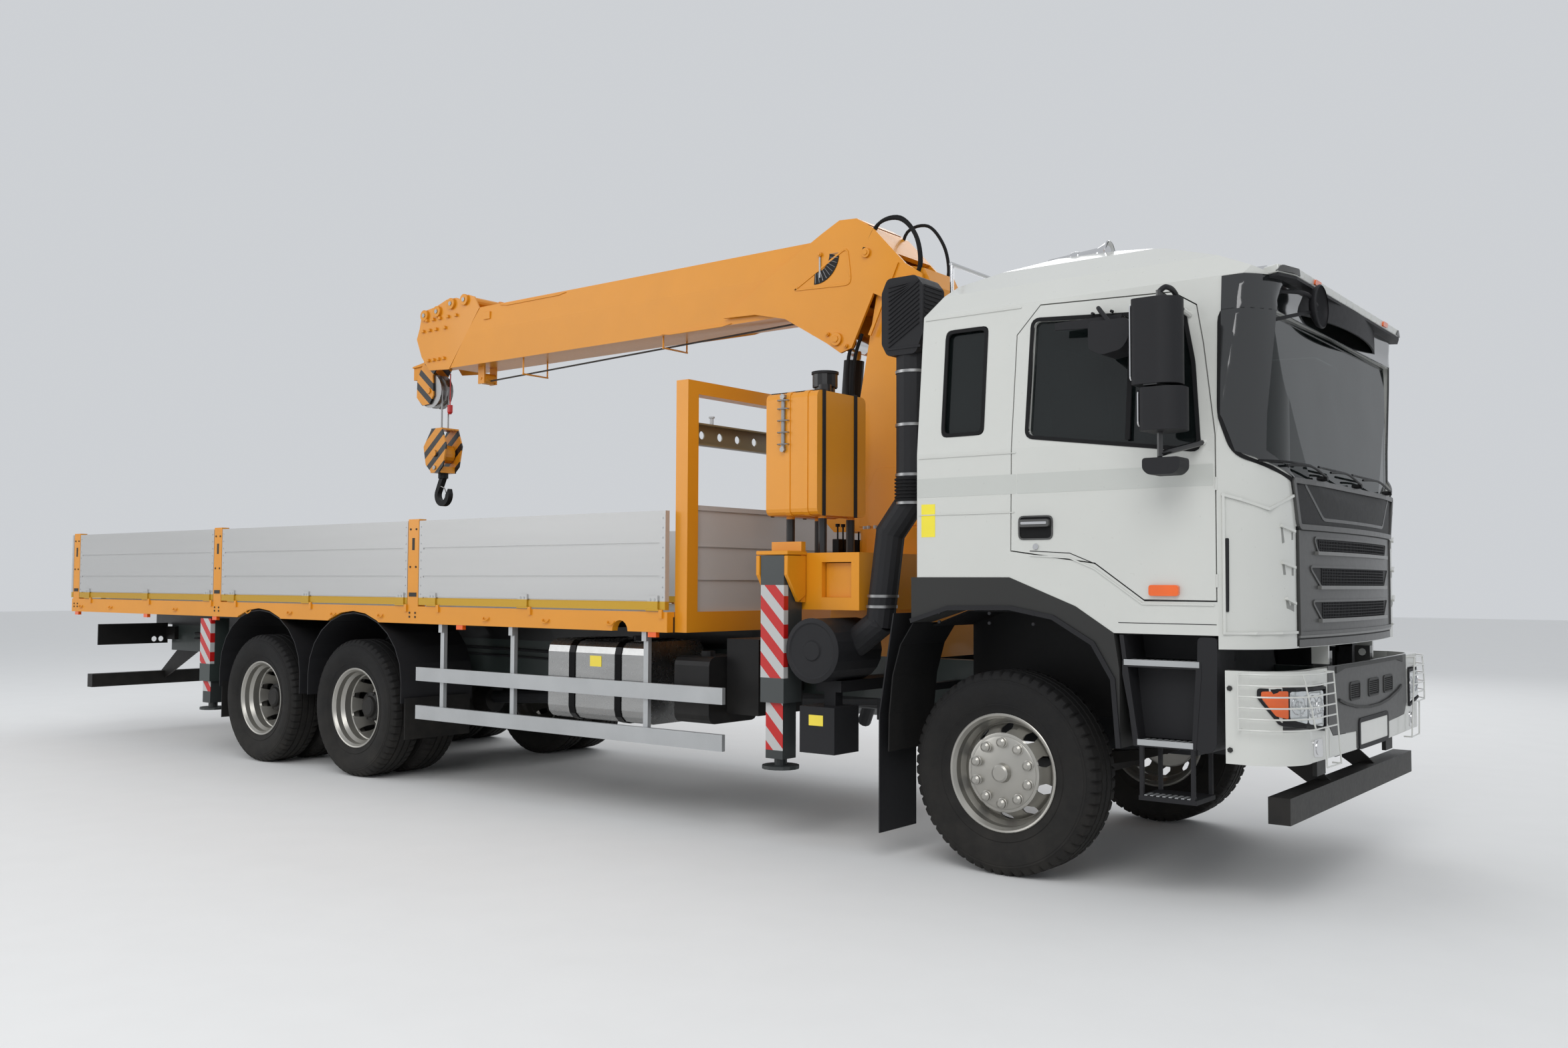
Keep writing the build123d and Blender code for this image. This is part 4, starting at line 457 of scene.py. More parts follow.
foot_stripes = striped(540, 816, ("|Y|", 1215, 1300))
foot_paint = finish("foot_paint", (48, 52, 52), 0.45, uneven=0.1, areas=foot_stripes)
arm_paint = yellow_with("arm_paint", (BLACK, [("|Y|", 60, 90), ("Z", 3060, 3440), HEAD_STRIPES]))
block_paint = yellow_with("block_paint", (BLACK, [("|Y|", 77, 95), BLOCK_STRIPES]))
print(len(bpy.data.materials), "finishes with those that change by area")

# %% [markdown]
# ## Window glass
# Truck glass is slightly tinted and mostly shows the sky. True refraction is slow and turns thin
# panes milky, so the pane mixes a smooth reflecting surface with plain transparency and lets a little
# of the dark inside through.

# %% Window glass
def window_glass():
    """Tinted pane that shows a sky reflection and lets a little of the dark inside through."""
    net = Net("window_glass")
    net.shader.inputs["Base Color"].default_value = linear((30, 36, 36))
    net.shader.inputs["Roughness"].default_value = 0.03
    net.shader.inputs["Coat Weight"].default_value = 1.0
    net.shader.inputs["IOR"].default_value = 1.5
    clear = net.node("ShaderNodeBsdfTransparent")
    clear.inputs["Color"].default_value = linear((150, 160, 158))
    both = net.node("ShaderNodeMixShader")
    streak = net.math("ADD", net.math("MULTIPLY", net.noise(2.0, 2.0), 0.08), 0.42)
    net.link(streak, both.inputs[0])
    net.link(clear.outputs[0], both.inputs[1])
    net.link(net.shader.outputs["BSDF"], both.inputs[2])
    net.link(both.outputs[0], net.out.inputs["Surface"])
    return net.material


glass = window_glass()
print("glass made")

# %% [markdown]
# ## Painting the CAD pieces
# The engineering model names every piece. Picking materials by hand in the viewport goes wrong easily
# when there are 59 of them, so one list goes from each finish to the pieces that wear it. Edges that
# turn by more than 30 degrees are marked sharp, so that plates stay crisp while round tanks stay
# smooth.

# %% Each CAD node gets its finish
nodes_of_finish = [
    (rear_leg_paint, "chassis_frame"),
    (black_paint, "front_axle rear_axles underrun_bars service_boxes luff_barrel hook"),
    (black_paint, "knuckle_right knuckle_left"),
    (engine_grey, "driveline exhaust_and_air_tanks"),
    (bumper_paint, "bumper"), (lamp_units, "lamps"), (tank_metal, "fuel_tank"), (galvanised, "side_guards"),
    (black_plastic, "cab_steps air_intake mudguards sun_visor"), (dark_plastic, "cab_trims"),
    (deck_paint, "deck"), (headboard_paint, "headboard"), (oil_tank_paint, "oil_tank"),
    (yellow_paint, "crane_base column boom_base boom_section_2 boom_section_3"), (arm_paint, "boom_tip"),
    (cab_paint, "cab_shell"), (door_paint, "door_right door_left"),
    (glass, "cab_glass door_glass_right door_glass_left"), (lining, "cab_interior"),
    (chrome, "roof_gear luff_rod"), (board_paint, "tailgate"), (leg_paint, "outrigger_right outrigger_left"),
    (foot_paint, "front_jack_right front_jack_left rear_jack_right rear_jack_left"),
    (steel, "head_sheave"), (block_paint, "hook_block"),
]
finish_of = {name: material for material, names in nodes_of_finish for name in names.split()}
for name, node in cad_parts.items():
    if name.startswith("drop_side"):
        material = board_paint
    elif name.startswith("wheel"):
        material = rubber
    else:
        material = finish_of[name]
    for index in range(len(node.data.materials)):
        node.data.materials[index] = material
    node.data.set_sharp_from_angle(angle=radians(30))
print(len(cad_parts), "CAD nodes painted")

# %% [markdown]
# ## Wheels
# A tyre could be a smooth ring with a bump pattern, but its outline against the ground shows the
# tread, so the grooves and shoulder blocks are real relief. Its section is turned round the axle in
# many narrow steps, and the step between two blocks is drawn with a smaller radius. One function
# draws every tyre of the truck, so all ten have the same tread.

# %% Tyre with real tread
HUB_HEIGHT = 530.0
FRONT_WHEEL_Y, OUTER_TWIN_Y, INNER_TWIN_Y = 1010.0, 1095.0, 745.0
AXLES = (("front", 0.0), ("middle", -5600.0), ("rear", -6950.0))
PITCHES, STEPS = 56, 5


def tyre_shape(centre, outward):
    """Tyre round a centre on the axle line; outward is -1 on the right side of the truck."""
    # radius, distance outward, depth of the notch between two blocks
    side = [(288, 96, 0), (300, 112, 0), (318, 118, 0), (330, 121, 0), (352, 134, 0), (356, 131, 0),
            (400, 147, 0), (440, 149.5, 0), (470, 146, 0), (474, 143, 0), (482, 143, 0), (486, 138, 0),
            (500, 132, 5), (512, 124, 11), (524, 112, 14), (529, 98, 14)]
    crown = [(530, 62, 3), (518, 59, 0), (518, 50, 0), (530, 47, 2), (530, 8, 2), (518, 5, 0)]
    half = side + crown
    profile = half + [(r, -w, d) for r, w, d in reversed(half)]
    shape = Shape()
    count = PITCHES * STEPS
    n = len(profile)
    verts = []
    for i in range(count):
        turn = tau * i / count
        notch = i % STEPS == 0
        for r, w, depth in profile:
            radius = r - depth if notch else r
            x, z = centre[0] + radius * cos(turn), centre[2] + radius * sin(turn)
            verts.append((x, centre[1] + outward * w, z))
    faces = []
    for i in range(count):
        j = (i + 1) % count
        for k in range(n - 1):
            faces.append((i * n + k, i * n + k + 1, j * n + k + 1, j * n + k))
    return shape.add(verts, faces)


print("tyre:", PITCHES, "blocks round each shoulder")

# %% [markdown]
# ## Rims and hubs
# A pressed steel wheel is a rolled rim with a dished disc in it, and ten round holes let air to the
# brake. A boolean cut for each hole leaves untidy faces, so the disc's rings of points bend round
# each hole and the faces inside it are left out. The front disc bulges outward and the outer twin
# disc is dished inward, as on the real hubs.

# %% Rims, hubs and nuts
HOLES, HOLE_CIRCLE, HOLE_RADIUS = 10, 228.0, 26.0


def disc_with_holes(shape, centre, outward, rim_w, face_w):
    """Dished disc between rim and bolting face, with a ring of round holes."""
    steps = 24
    count = HOLES * steps

    def from_hole(step):
        """Distance along the ring from the nearest hole's centre."""
        return (step / steps - 0.5) * tau / HOLES * HOLE_CIRCLE

    def w_at(r):
        t = min(max((258 - r) / 58, 0), 1)
        return rim_w + (face_w - rim_w) * (t * t * (3 - 2 * t))

    for thickness in (0.0, 10.0):
        verts, faces = [], []
        for i in range(count):
            turn = tau * i / count
            lift = max(HOLE_RADIUS ** 2 - from_hole(i % steps) ** 2, 0) ** 0.5
            for r in (262, 250, HOLE_CIRCLE + lift, HOLE_CIRCLE - lift, 206, 198, 108):
                w = w_at(r) - thickness
                verts.append((centre[0] + r * cos(turn), centre[1] + outward * w, centre[2] + r * sin(turn)))
        for i in range(count):
            j = (i + 1) % count
            step = i % steps
            in_hole = step and min(abs(from_hole(step)), abs(from_hole(step + 1))) < HOLE_RADIUS
            for k in range(6):
                if k == 2 and in_hole:
                    continue
                faces.append((i * 7 + k, i * 7 + k + 1, j * 7 + k + 1, j * 7 + k))
        shape.add(verts, faces)


def rim_shape(centre, outward, disc_w):
    """Drop-centre rim with its disc; disc_w is (at the rim, at the bolting face)."""
    shape = Shape()
    section = [(305, 122), (309, 119), (305, 113), (291, 104), (288, 60), (268, 34), (268, -40), (288, -60),
               (291, -104), (305, -113), (309, -119), (305, -122), (296, -119), (281, -100), (278, -62),
               (258, -42), (258, 36), (278, 62), (281, 100), (296, 119)]
    shape.turn([(r, outward * w) for r, w in section], centre, sides=72)
    disc_with_holes(shape, centre, outward, *disc_w)
    return shape


def profile_out(outward, *points):
    """Turned profile of (radius, distance outward) points, for either side of the truck."""
    return [(r, outward * w) for r, w in points]


def nuts(shape, centre, outward, circle, w, radius=21.0, height=26.0, count=10):
    """Capped wheel nuts on a circle."""
    top = w + height
    profile = profile_out(outward, (radius + 4, w), (radius + 4, w + 4), (radius, w + 6), (radius, top - 8),
                          (radius * 0.55, top), (0.5, top + 1))
    for dx, dz in around(count, circle, 0.5):
        shape.turn(profile, (centre[0] + dx, centre[1], centre[2] + dz), sides=14, closed=False)


def front_wheel(node, outward):
    """Steered wheel with a flat hub cover; its disc bulges outward."""
    centre = (0.0, outward * FRONT_WHEEL_Y, HUB_HEIGHT)
    tyre_shape(centre, outward).piece(f"{node}_tyre", node, rubber, angle=25)
    rim = rim_shape(centre, outward, (14, 104))
    cover = profile_out(outward, (0.5, 112), (178, 112), (190, 106), (196, 96), (196, 90), (0.5, 90))
    cap = profile_out(outward, (0.5, 148), (36, 148), (46, 142), (50, 120), (52, 110))
    rim.turn(cover, centre, sides=60, closed=False)
    rim.turn(cap, centre, sides=40, closed=False)
    nuts(rim, centre, outward, 158, 111, 25, 30)
    return rim.piece(f"{node}_rim", node, rim_silver, angle=30)


def twin_wheel(node, x, outward):
    """Both tyres of a rear wheel; the inner rim is made last and stands for the pair."""
    for tag, middle, disc_w in (("outer", OUTER_TWIN_Y, (-14, -172)), ("inner", INNER_TWIN_Y, (14, 172))):
        centre = (x, outward * middle, HUB_HEIGHT)
        tyre_shape(centre, outward).piece(f"{node}_{tag}_tyre", node, rubber, angle=25)
        if tag == "outer":
            hub = Shape()
            drum = profile_out(outward, (0.5, 14), (62, 14), (78, 4), (86, -14), (112, -22), (112, -150),
                               (140, -168))
            hub.turn(drum, centre, sides=40, closed=False)
            nuts(hub, centre, outward, 142, -172, 17, 34)
            nuts(hub, centre, outward, 98, -22, 9, 9, 8)
            hub.piece(f"{node}_hub", node, black_paint, angle=30)
        rim = rim_shape(centre, outward, disc_w).piece(f"{node}_{tag}_rim", node, rim_silver, angle=30)
    return rim


for side, outward in (("right", -1), ("left", 1)):
    for axle, x in AXLES:
        node = f"wheel_{axle}_{side}"
        wheel = front_wheel(node, outward) if axle == "front" else twin_wheel(node, x, outward)
        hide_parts(node)
print(len(made), "wheel pieces")

# %% [markdown]
# ## The cab's front and side as curved surfaces
# Trims on a cab follow its curves. Modelling each one freely in space would leave gaps, so the curves
# are drawn once: the plan of the bumper, the plan of the cab's front, and how the sides and the
# windscreen lean. A trim is then drawn flat, like a sticker, and a surface function folds it onto the
# cab with its own thickness.

# %% Curves of the cab and the bumper
def arc_points(a, b, c, steps=10):
    """Points on the circle through three plan points, from the first to the last."""
    (ax, ay), (bx, by), (cx, cy) = a, b, c
    d = 2 * (ax * (by - cy) + bx * (cy - ay) + cx * (ay - by))
    aa, bb, cc = ax * ax + ay * ay, bx * bx + by * by, cx * cx + cy * cy
    ux = (aa * (by - cy) + bb * (cy - ay) + cc * (ay - by)) / d
    uy = (aa * (cx - bx) + bb * (ax - cx) + cc * (bx - ax)) / d
    start, end = atan2(ay - uy, ax - ux), atan2(cy - uy, cx - ux)
    turn = (end - start + pi) % tau - pi
    r = hypot(ax - ux, ay - uy)
    return [(ux + r * cos(start + turn * i / steps), uy + r * sin(start + turn * i / steps))
            for i in range(steps + 1)]


def front_curve(rear, start, bend, corner, nose):
    """Plan line from the right flank round the front to the left flank."""
    low = [rear] + arc_points(start, bend, corner)
    front = arc_points(corner, (nose, 0), (corner[0], -corner[1]), 24)
    return low + front[1:-1] + [(x, -y) for x, y in reversed(low)]


BUMPER = front_curve((1215, -1245), (1325, -1245), (1458, -1173), (1518, -975), 1540)
CAB = front_curve((676, -1245), (1187, -1245), (1345, -1119), (1423, -861), 1480)
SIDE_LEAN = [(1200, 1245), (2205, 1245), (2965, 1172), (3085, 1080), (3215, 900), (3292, 720)]
FRONT_LEAN = [(1215, 1480), (1930, 1480), (1985, 1452), (2850, 1392), (2960, 1409)]


def along(table, value):
    """Read a table of (place, size) rows, straight between the rows."""
    for (a, fa), (b, fb) in zip(table, table[1:]):
        if value <= b or (b, fb) == table[-1]:
            return fa + (fb - fa) * (value - a) / (b - a)


def walk(plan, s):
    """Point and outward direction a way s along a plan line from its middle; right is negative."""
    lengths = [hypot(bx - ax, by - ay) for (ax, ay), (bx, by) in zip(plan, plan[1:])]
    left = s + sum(lengths) / 2
    for (ax, ay), (bx, by), length in zip(plan, plan[1:], lengths):
        if left <= length or (bx, by) == plan[-1]:
            dx, dy = (bx - ax) / length, (by - ay) / length
            return ax + dx * left, ay + dy * left, dy, -dx
        left -= length


def way(plan, y):
    """How far along a plan line from its middle it crosses y."""
    low, high = sorted((0.0, 1500.0 if y > 0 else -1500.0))
    for _ in range(40):
        middle = (low + high) / 2
        if walk(plan, middle)[1] < y:
            low = middle
        else:
            high = middle
    return (low + high) / 2


def on_front(s, z, out):
    """Cab front: a way from the middle along its curve and a height, lifted outward."""
    x, y, nx, ny = walk(CAB, s)
    limit_x, limit_y = along(FRONT_LEAN, max(z, 1215)), along(SIDE_LEAN, max(z, 1200))
    if x > limit_x:
        x, nx, ny = limit_x, 1.0, 0.0
    if abs(y) > limit_y:
        y, nx, ny = (limit_y, 0.0, 1.0) if y > 0 else (-limit_y, 0.0, -1.0)
    return x + nx * out, y + ny * out, z


def on_bumper(s, z, out):
    x, y, nx, ny = walk(BUMPER, s)
    return x + nx * out, y + ny * out, z


def on_flank(x, z, out):
    """Right side of the cab at a height, lifted outward."""
    return x, -along(SIDE_LEAN, max(z, 1200)) - out, z


def part_way(a, b, t):
    """Point between two flat points, at a share t of the way."""
    return a[0] + (b[0] - a[0]) * t, a[1] + (b[1] - a[1]) * t


def patch(shape, surface, outline, out, into, grain=70):
    """Flat outline folded onto a surface, from a lift to a depth; a finer grain follows tighter curves."""
    dense = []
    for (a, b), (c, d) in zip(outline, outline[1:] + outline[:1]):
        steps = max(1, int(hypot(c - a, d - b) // grain))
        dense += [part_way((a, b), (c, d), i / steps) for i in range(steps)]
    count = len(dense)
    lows, highs = [min(v) for v in zip(*dense)], [max(v) for v in zip(*dense)]
    across, up = (int((high - low) // grain) for low, high in zip(lows, highs))
    grid = [(lows[0] + grain * i, lows[1] + grain * j)
            for i in range(1, across + 1) for j in range(1, up + 1)]
    dots = [Vector(p) for p in dense + grid]
    flat, _, faces, *_ = delaunay_2d_cdt(dots, [], [list(range(count))], 1, 1e-4)
    n = len(flat)
    verts = [surface(*p, out) for p in flat] + [surface(*p, -into) for p in flat]
    sides = {}
    for face in faces:
        for a, b in zip(face, face[1:] + face[:1]):
            sides[(a, b)] = (b, a) not in sides
            if not sides[(a, b)]:
                sides[(b, a)] = False
    walls = [(a, b, n + b, n + a) for (a, b), edge in sides.items() if edge]
    return shape.add(verts, [tuple(f) for f in faces] + [tuple(n + i for i in f) for f in faces] + walls)


def band(shape, surface, outline, width, out, into=4, closed=True):
    """Strip of a width to the left of an outline, folded onto a surface."""
    n = len(outline)
    count = n if closed else n - 1
    inner = []
    for i, (a, b) in enumerate(outline):
        before = outline[i - 1] if closed or i else outline[i]
        after = outline[(i + 1) % n] if closed or i < n - 1 else outline[i]
        d0 = Vector((a - before[0], b - before[1]))
        d1 = Vector((after[0] - a, after[1] - b))
        d0 = d0.normalized() if d0.length else d1.normalized()
        d1 = d1.normalized() if d1.length else d0
        across = Vector((-(d0.y + d1.y), d0.x + d1.x)).normalized()
        stretch = width / max(0.5, across.dot(Vector((-d0.y, d0.x))))
        inner.append((a + across.x * stretch, b + across.y * stretch))
    for i in range(count):
        j = (i + 1) % n
        steps = max(1, int(hypot(outline[j][0] - outline[i][0], outline[j][1] - outline[i][1]) // 120))
        for k in range(steps):
            ends = [part_way(line[i], line[j], t) for t in (k / steps, (k + 1) / steps)
                    for line in (outline, inner)]
            verts = [surface(*p, lift) for lift in (out, -into) for p in ends]
            shape.add(verts, BLOCK_SIDES)
    return shape


def soft(outline, radius, steps=4):
    """Outline with its corners rounded."""
    result = []
    n = len(outline)
    for i, p in enumerate(outline):
        here = Vector(p)
        back = Vector(outline[i - 1]) - here
        ahead = Vector(outline[(i + 1) % n]) - here
        r = min(radius, back.length * 0.45, ahead.length * 0.45)
        a, b = here + back.normalized() * r, here + ahead.normalized() * r
        for k in range(steps + 1):
            t = k / steps
            q = a * (1 - t) ** 2 + here * 2 * t * (1 - t) + b * t * t
            result.append((q.x, q.y))
    return result


print("bumper curve", len(BUMPER), "points; cab curve", len(CAB), "points")

# %% [markdown]
# ## Bumper
# The bumper's centre is a dark panel with three mesh vents over a blank plate, and a lip that curves
# like a smile. Mesh could be a see-through picture; thin crossed bars keep their depth when the light
# moves. A near-black sheet behind the bars is painted shade for the dark inside each vent. The outline
# of the panel is given for its right half only and mirrored, so both halves are the same.

# %% Bumper centre
# Near-black finish for the header's dark panel, and painted shade inside the vents and the mesh openings.
panel_black_and_painted_shade = finish("panel_black_and_painted_shade", (18, 18, 19), 0.6)
panel = Shape()
right_edge = [(-751, 1128), (-755, 860), (-689, 800), (-310, 788), (-310, 704)]
patch(panel, on_bumper, right_edge + [(-y, z) for y, z in reversed(right_edge)], 3, 2)
vents, slats, lip = Shape(), Shape(), Shape()
# Painted shade: a near-black sheet in each vent, behind the bars, stands in for the dark inside it.
for y0, y1 in ((-416, -262), (-90, 90), (211, 388)):
    opening = soft([(y0, 953), (y1, 953), (y1, 1027), (y0, 1027)], 14)
    patch(vents, on_bumper, opening, 3.4, 0)
    band(lip, on_bumper, opening, -9, 8, 2)
    for z in range(962, 1024, 10):
        band(slats, on_bumper, [(y0 + 5, z), (y1 - 5, z)], 4, 6, 1, closed=False)
    for y in range(y0 + 8, y1 - 4, 14):
        band(slats, on_bumper, [(y, 957), (y, 1023)], 3, 6, 1, closed=False)
half_smile = [(-600, 968), (-506, 946), (-300, 915), (-103, 901)]
band(lip, on_bumper, half_smile + [(-y, z) for y, z in reversed(half_smile)], -14, 12, 2, closed=False)
patch(lip, on_bumper, [(-640, 1090), (-500, 1108), (500, 1108), (640, 1090), (640, 1123), (-640, 1123)], 8, 2)
panel.piece("bumper_panel", "chassis", finish("bumper_dark", (58, 58, 57), 0.42, uneven=0.03), angle=30)
vents.piece("bumper_vent_painted_shade", "chassis", panel_black_and_painted_shade)
slats.piece("bumper_mesh", "chassis", black_paint)
lip.piece("bumper_lips", "chassis", dark_plastic, angle=30)
plate_outline = soft([(-262, 715), (262, 715), (262, 826), (-262, 826)], 10)
plate = Shape()
patch(plate, on_bumper, plate_outline, 7, -3)
plate.piece("blank_plate", "chassis", finish("plate_white", (222, 222, 218), 0.4), bevel=1)
plate_frame = Shape()
band(plate_frame, on_bumper, plate_outline, -22, 9, 2)
plate_frame.piece("plate_frame", "chassis", black_plastic)
print("bumper centre:", len(made), "pieces so far")

# %% [markdown]
# ## Headlamps and their guards
# A lamp unit wraps round the bumper's corner: a turn lamp, two clear lenses and the rings of their
# bowls, behind a welded wire guard. The wires could be free curves, but each is a thin pipe whose
# points are read off the bumper's own curve at a distance, so that the guard follows the corner.

# %% Lamps, bezels and guards in the bumper's corners
bezel, bowl, orange, lens, cage, fog = Shape(), Shape(), Shape(), Shape(), Shape(), Shape()
LAMP_END, LAMP_START = way(BUMPER, -1237), way(BUMPER, -802)
unit = soft([(LAMP_END, 1046), (LAMP_END, 1000), (LAMP_END + 95, 880), (LAMP_START, 829), (LAMP_START, 1040)],
            16)
patch(bezel, on_bumper, unit, 1.5, 6)
band(bezel, on_bumper, unit, 13, 10, 6)
turn_end, turn_start, lens_start = way(BUMPER, -1231), way(BUMPER, -1160), way(BUMPER, -1050)
lens_end = LAMP_START - 24
turn_lamp = [(turn_end, 1032), (turn_end, 1004), (turn_end + 60, 922), (turn_start, 908), (turn_start, 1034)]
outer_lens = [(turn_start + 9, 1032), (turn_start + 9, 906), (lens_start, 880), (lens_start, 1030)]
inner_lens = [(lens_start + 10, 1026), (lens_start + 12, 880), (lens_end, 852), (lens_end, 1022)]
patch(orange, on_bumper, soft(turn_lamp, 9), 6, 2)
patch(lens, on_bumper, soft(outer_lens, 16), 5, 2)
patch(lens, on_bumper, soft(inner_lens, 24), 5, 2)
bowls = [((turn_start + lens_start) / 2, 968, 42), (lens_start + 68, 956, 50), (lens_start + 170, 944, 48)]
for s, z, r in bowls:
    for ring in (r, r * 0.45):
        bowl.tube([on_bumper(s + ds, z + dz, 6) for ds, dz in around(24, ring)], 2.6, 6, 1, closed=True)


def wire(a, b, lift=40, steps=8):
    """One bar of the lamp guard, following the bumper at a distance."""
    cage.tube([on_bumper(*part_way(a, b, i / steps), lift) for i in range(steps + 1)], 4, 8, 2)


GUARD_TOP, GUARD_STEP, GUARD_FOOT = 1108, 858, 672
guard_left, guard_right = LAMP_END - 70, way(BUMPER, -790)
foot_right = guard_right + 98
for z in range(GUARD_TOP, GUARD_STEP - 1, -50):
    wire((guard_left, z), (guard_right + (GUARD_TOP - z) * 0.16, z))
wire((guard_left, GUARD_TOP), (guard_left, GUARD_STEP))
wire((guard_right, GUARD_TOP), (foot_right, GUARD_FOOT))
wire((guard_right - 120, GUARD_STEP), (guard_right - 105, GUARD_FOOT))
wire((guard_right - 105, GUARD_FOOT), (foot_right, GUARD_FOOT))
wire((way(BUMPER, -1121), GUARD_TOP), (way(BUMPER, -1047), GUARD_STEP))
feet = [(guard_left, GUARD_TOP), (guard_left, GUARD_STEP), (guard_right, GUARD_TOP), (foot_right, GUARD_FOOT)]
for s, z in feet:
    cage.rod(on_bumper(s, z, -2), on_bumper(s, z, 42), 4, 8)
fog_s = way(BUMPER, -898)
fog_outline = [(fog_s - 62, 800), (fog_s - 62, 722), (fog_s + 62, 712), (fog_s + 62, 798)]
patch(fog, on_bumper, soft(fog_outline, 22), 3, 3)
fog.rod(on_bumper(fog_s, 760, -30), on_bumper(fog_s, 760, 6), 34, 24)
skirt = Shape()
patch(skirt, on_bumper, [(-740, 704), (-330, 704), (-330, 786), (-689, 797), (-740, 840)], 2, 1)
for shape in (bezel, bowl, orange, lens, cage, fog, skirt):
    shape.mirrored()
skirt.piece("bumper_skirts", "chassis", cab_paint)
bezel.piece("lamp_bezels", "chassis", black_plastic, angle=30)
bowl.piece("lamp_rings", "chassis", chrome)
orange.piece("front_turn_lamps", "chassis", orange_lens, bevel=1.5)
lens.piece("headlamp_lenses", "chassis", clear_lens, bevel=2)
cage.piece("lamp_guards", "chassis", cab_paint)
fog.piece("fog_lamps", "chassis", chrome, angle=30)
under = Shape()
for y in (-640, 640):
    under.box(1440, 1462, y - 70, y + 70, 600, 700)
for side in (-1, 1):
    for z in (760, 1040):
        under.rod((1236, side * 1243, z), (1236, side * 1252, z), 13, 6)
under.piece("bumper_underside", "chassis", dark_plastic, bevel=1)
print("bumper lamps:", len(made), "pieces so far")

# %% [markdown]
# ## Cab front
# Below the windscreen lies a grey grille with three dark mesh openings, each with a lip under it whose
# lighter grey is a painted highlight for the light its edge catches, a wider header with a sunken dark
# panel, and a corner pod on each side with a slot and gills that guide the air. Near-black sheets behind
# the mesh are painted shade for the dark inside the openings, and grey patches in the gills' notches are
# painted shade on the white pod. Cutting them into one shell would make a heavy mesh; laying each trim on
# the curved surface keeps them separate and editable.

# %% Grille, header and corner pods
grille_frame, grille_dark, grille_lip, grille_mesh = Shape(), Shape(), Shape(), Shape()
patch(grille_dark, on_front, [(-845, 1772), (-930, 2012), (930, 2012), (845, 1772)], 7, 4, 26)
patch(grille_frame, on_front, [(-845, 1275), (845, 1275), (845, 1772), (-845, 1772)], 2, 1)
band(grille_frame, on_front, soft([(-930, 2020), (-850, 1776), (850, 1776), (930, 2020)], 30), 26, 16, 4)
inner_panel = soft([(-770, 2004), (-552, 1840), (552, 1840), (770, 2004)], 26)
band(grille_frame, on_front, inner_panel, -16, 9, 2)
# bottom, top, half width at the bottom and at the top of each mesh opening
OPENINGS = [(1672, 1736, 614, 660), (1506, 1596, 583, 712), (1345, 1430, 577, 686)]
# Painted shade: a near-black sheet behind the mesh of each opening stands in for the dark inside it.
for low, high, half_low, half_high in OPENINGS:
    hole = soft([(-half_low, low), (half_low, low), (half_high, high), (-half_high, high)], 22)
    patch(grille_dark, on_front, hole, 3, 10)
    reach = half_low + 40
    band(grille_lip, on_front, [(-reach, low - 14), (reach, low - 14)], 18, 20, 4, closed=False)
    band(grille_frame, on_front, hole, -12, 8, 2)
    for z in range(low + 10, high - 4, 15):
        band(grille_mesh, on_front, [(-half_low, z), (half_low, z)], 3.5, 7, 1, closed=False)
    for y in range(-half_low + 8, half_low, 22):
        band(grille_mesh, on_front, [(y, low + 3), (y, high - 3)], 3.5, 6.5, 1, closed=False)
band(grille_frame, on_front, [(-850, 1772), (-842, 1275), (842, 1275), (850, 1772)], 16, 10, 4, closed=False)
band(grille_lip, on_front, [(-842, 1262), (842, 1262)], 12, 7, 4, closed=False)
band(grille_frame, on_front, [(-842, 1218), (842, 1218)], 36, 3, 2, closed=False)
grille_grey = finish("grille_grey", (70, 70, 69), 0.42, coat=0.2, uneven=0.02)
grille_frame.piece("grille_frame", "cab", grille_grey, angle=28)
# The lips are real ridges. Their grey is lighter than the grille's, a painted highlight for the light their
# top edges catch.
grille_lip.piece("grille_lips", "cab", finish("lip_grey_painted_highlight", (104, 104, 102), 0.35, coat=0.2), angle=28)
grille_dark.piece("grille_panel_and_painted_shade", "cab", panel_black_and_painted_shade)
grille_mesh.piece("grille_mesh", "cab", black_plastic)

pod, pod_dark, notch = Shape(), Shape(), Shape()
edge = way(CAB, -1236)
pod_top = [(edge, 1935), (way(CAB, -1188), 1910), (way(CAB, -1087), 1869), (way(CAB, -914), 1938)]
band(pod, on_front, pod_top, -12, 14, 2, closed=False)
band(pod, on_front, [(edge, 1935), (edge, 1284), (-884, 1284)], 12, 14, 2, closed=False)
pod_slot = [(edge + 14, 1727), (edge + 14, 1387), (edge + 28, 1387), (edge + 30, 1727)]
patch(pod_dark, on_front, soft(pod_slot, 6), 6, 2)
# Painted shade: a grey patch on the white pod in each gill's notch stands in for the shadow inside it.
for high, mid, low, reach in ((1792, 1770, 1706, 1012), (1620, 1600, 1560, 1005), (1454, 1431, 1404, 982)):
    tip, root = way(CAB, -reach), way(CAB, -905)
    patch(notch, on_front, [(tip, high - 8), (root, mid - 4), (root, mid - 44), (tip + 8, low)], 2, 1)
    band(pod, on_front, [(tip - 6, high + 2), (root, mid)], -12, 16, 2, closed=False)
for shape in (pod, pod_dark, notch):
    shape.mirrored()
# Grey painted shade for the gill notches.
notch.piece("pod_gill_painted_shade", "cab", finish("gill_painted_shade", (132, 133, 129), 0.4), angle=30)
pod.piece("pod_fins", "cab", cab_paint, angle=30)
pod_dark.piece("pod_slots", "cab", black_plastic)
print("cab front:", len(made), "pieces so far")
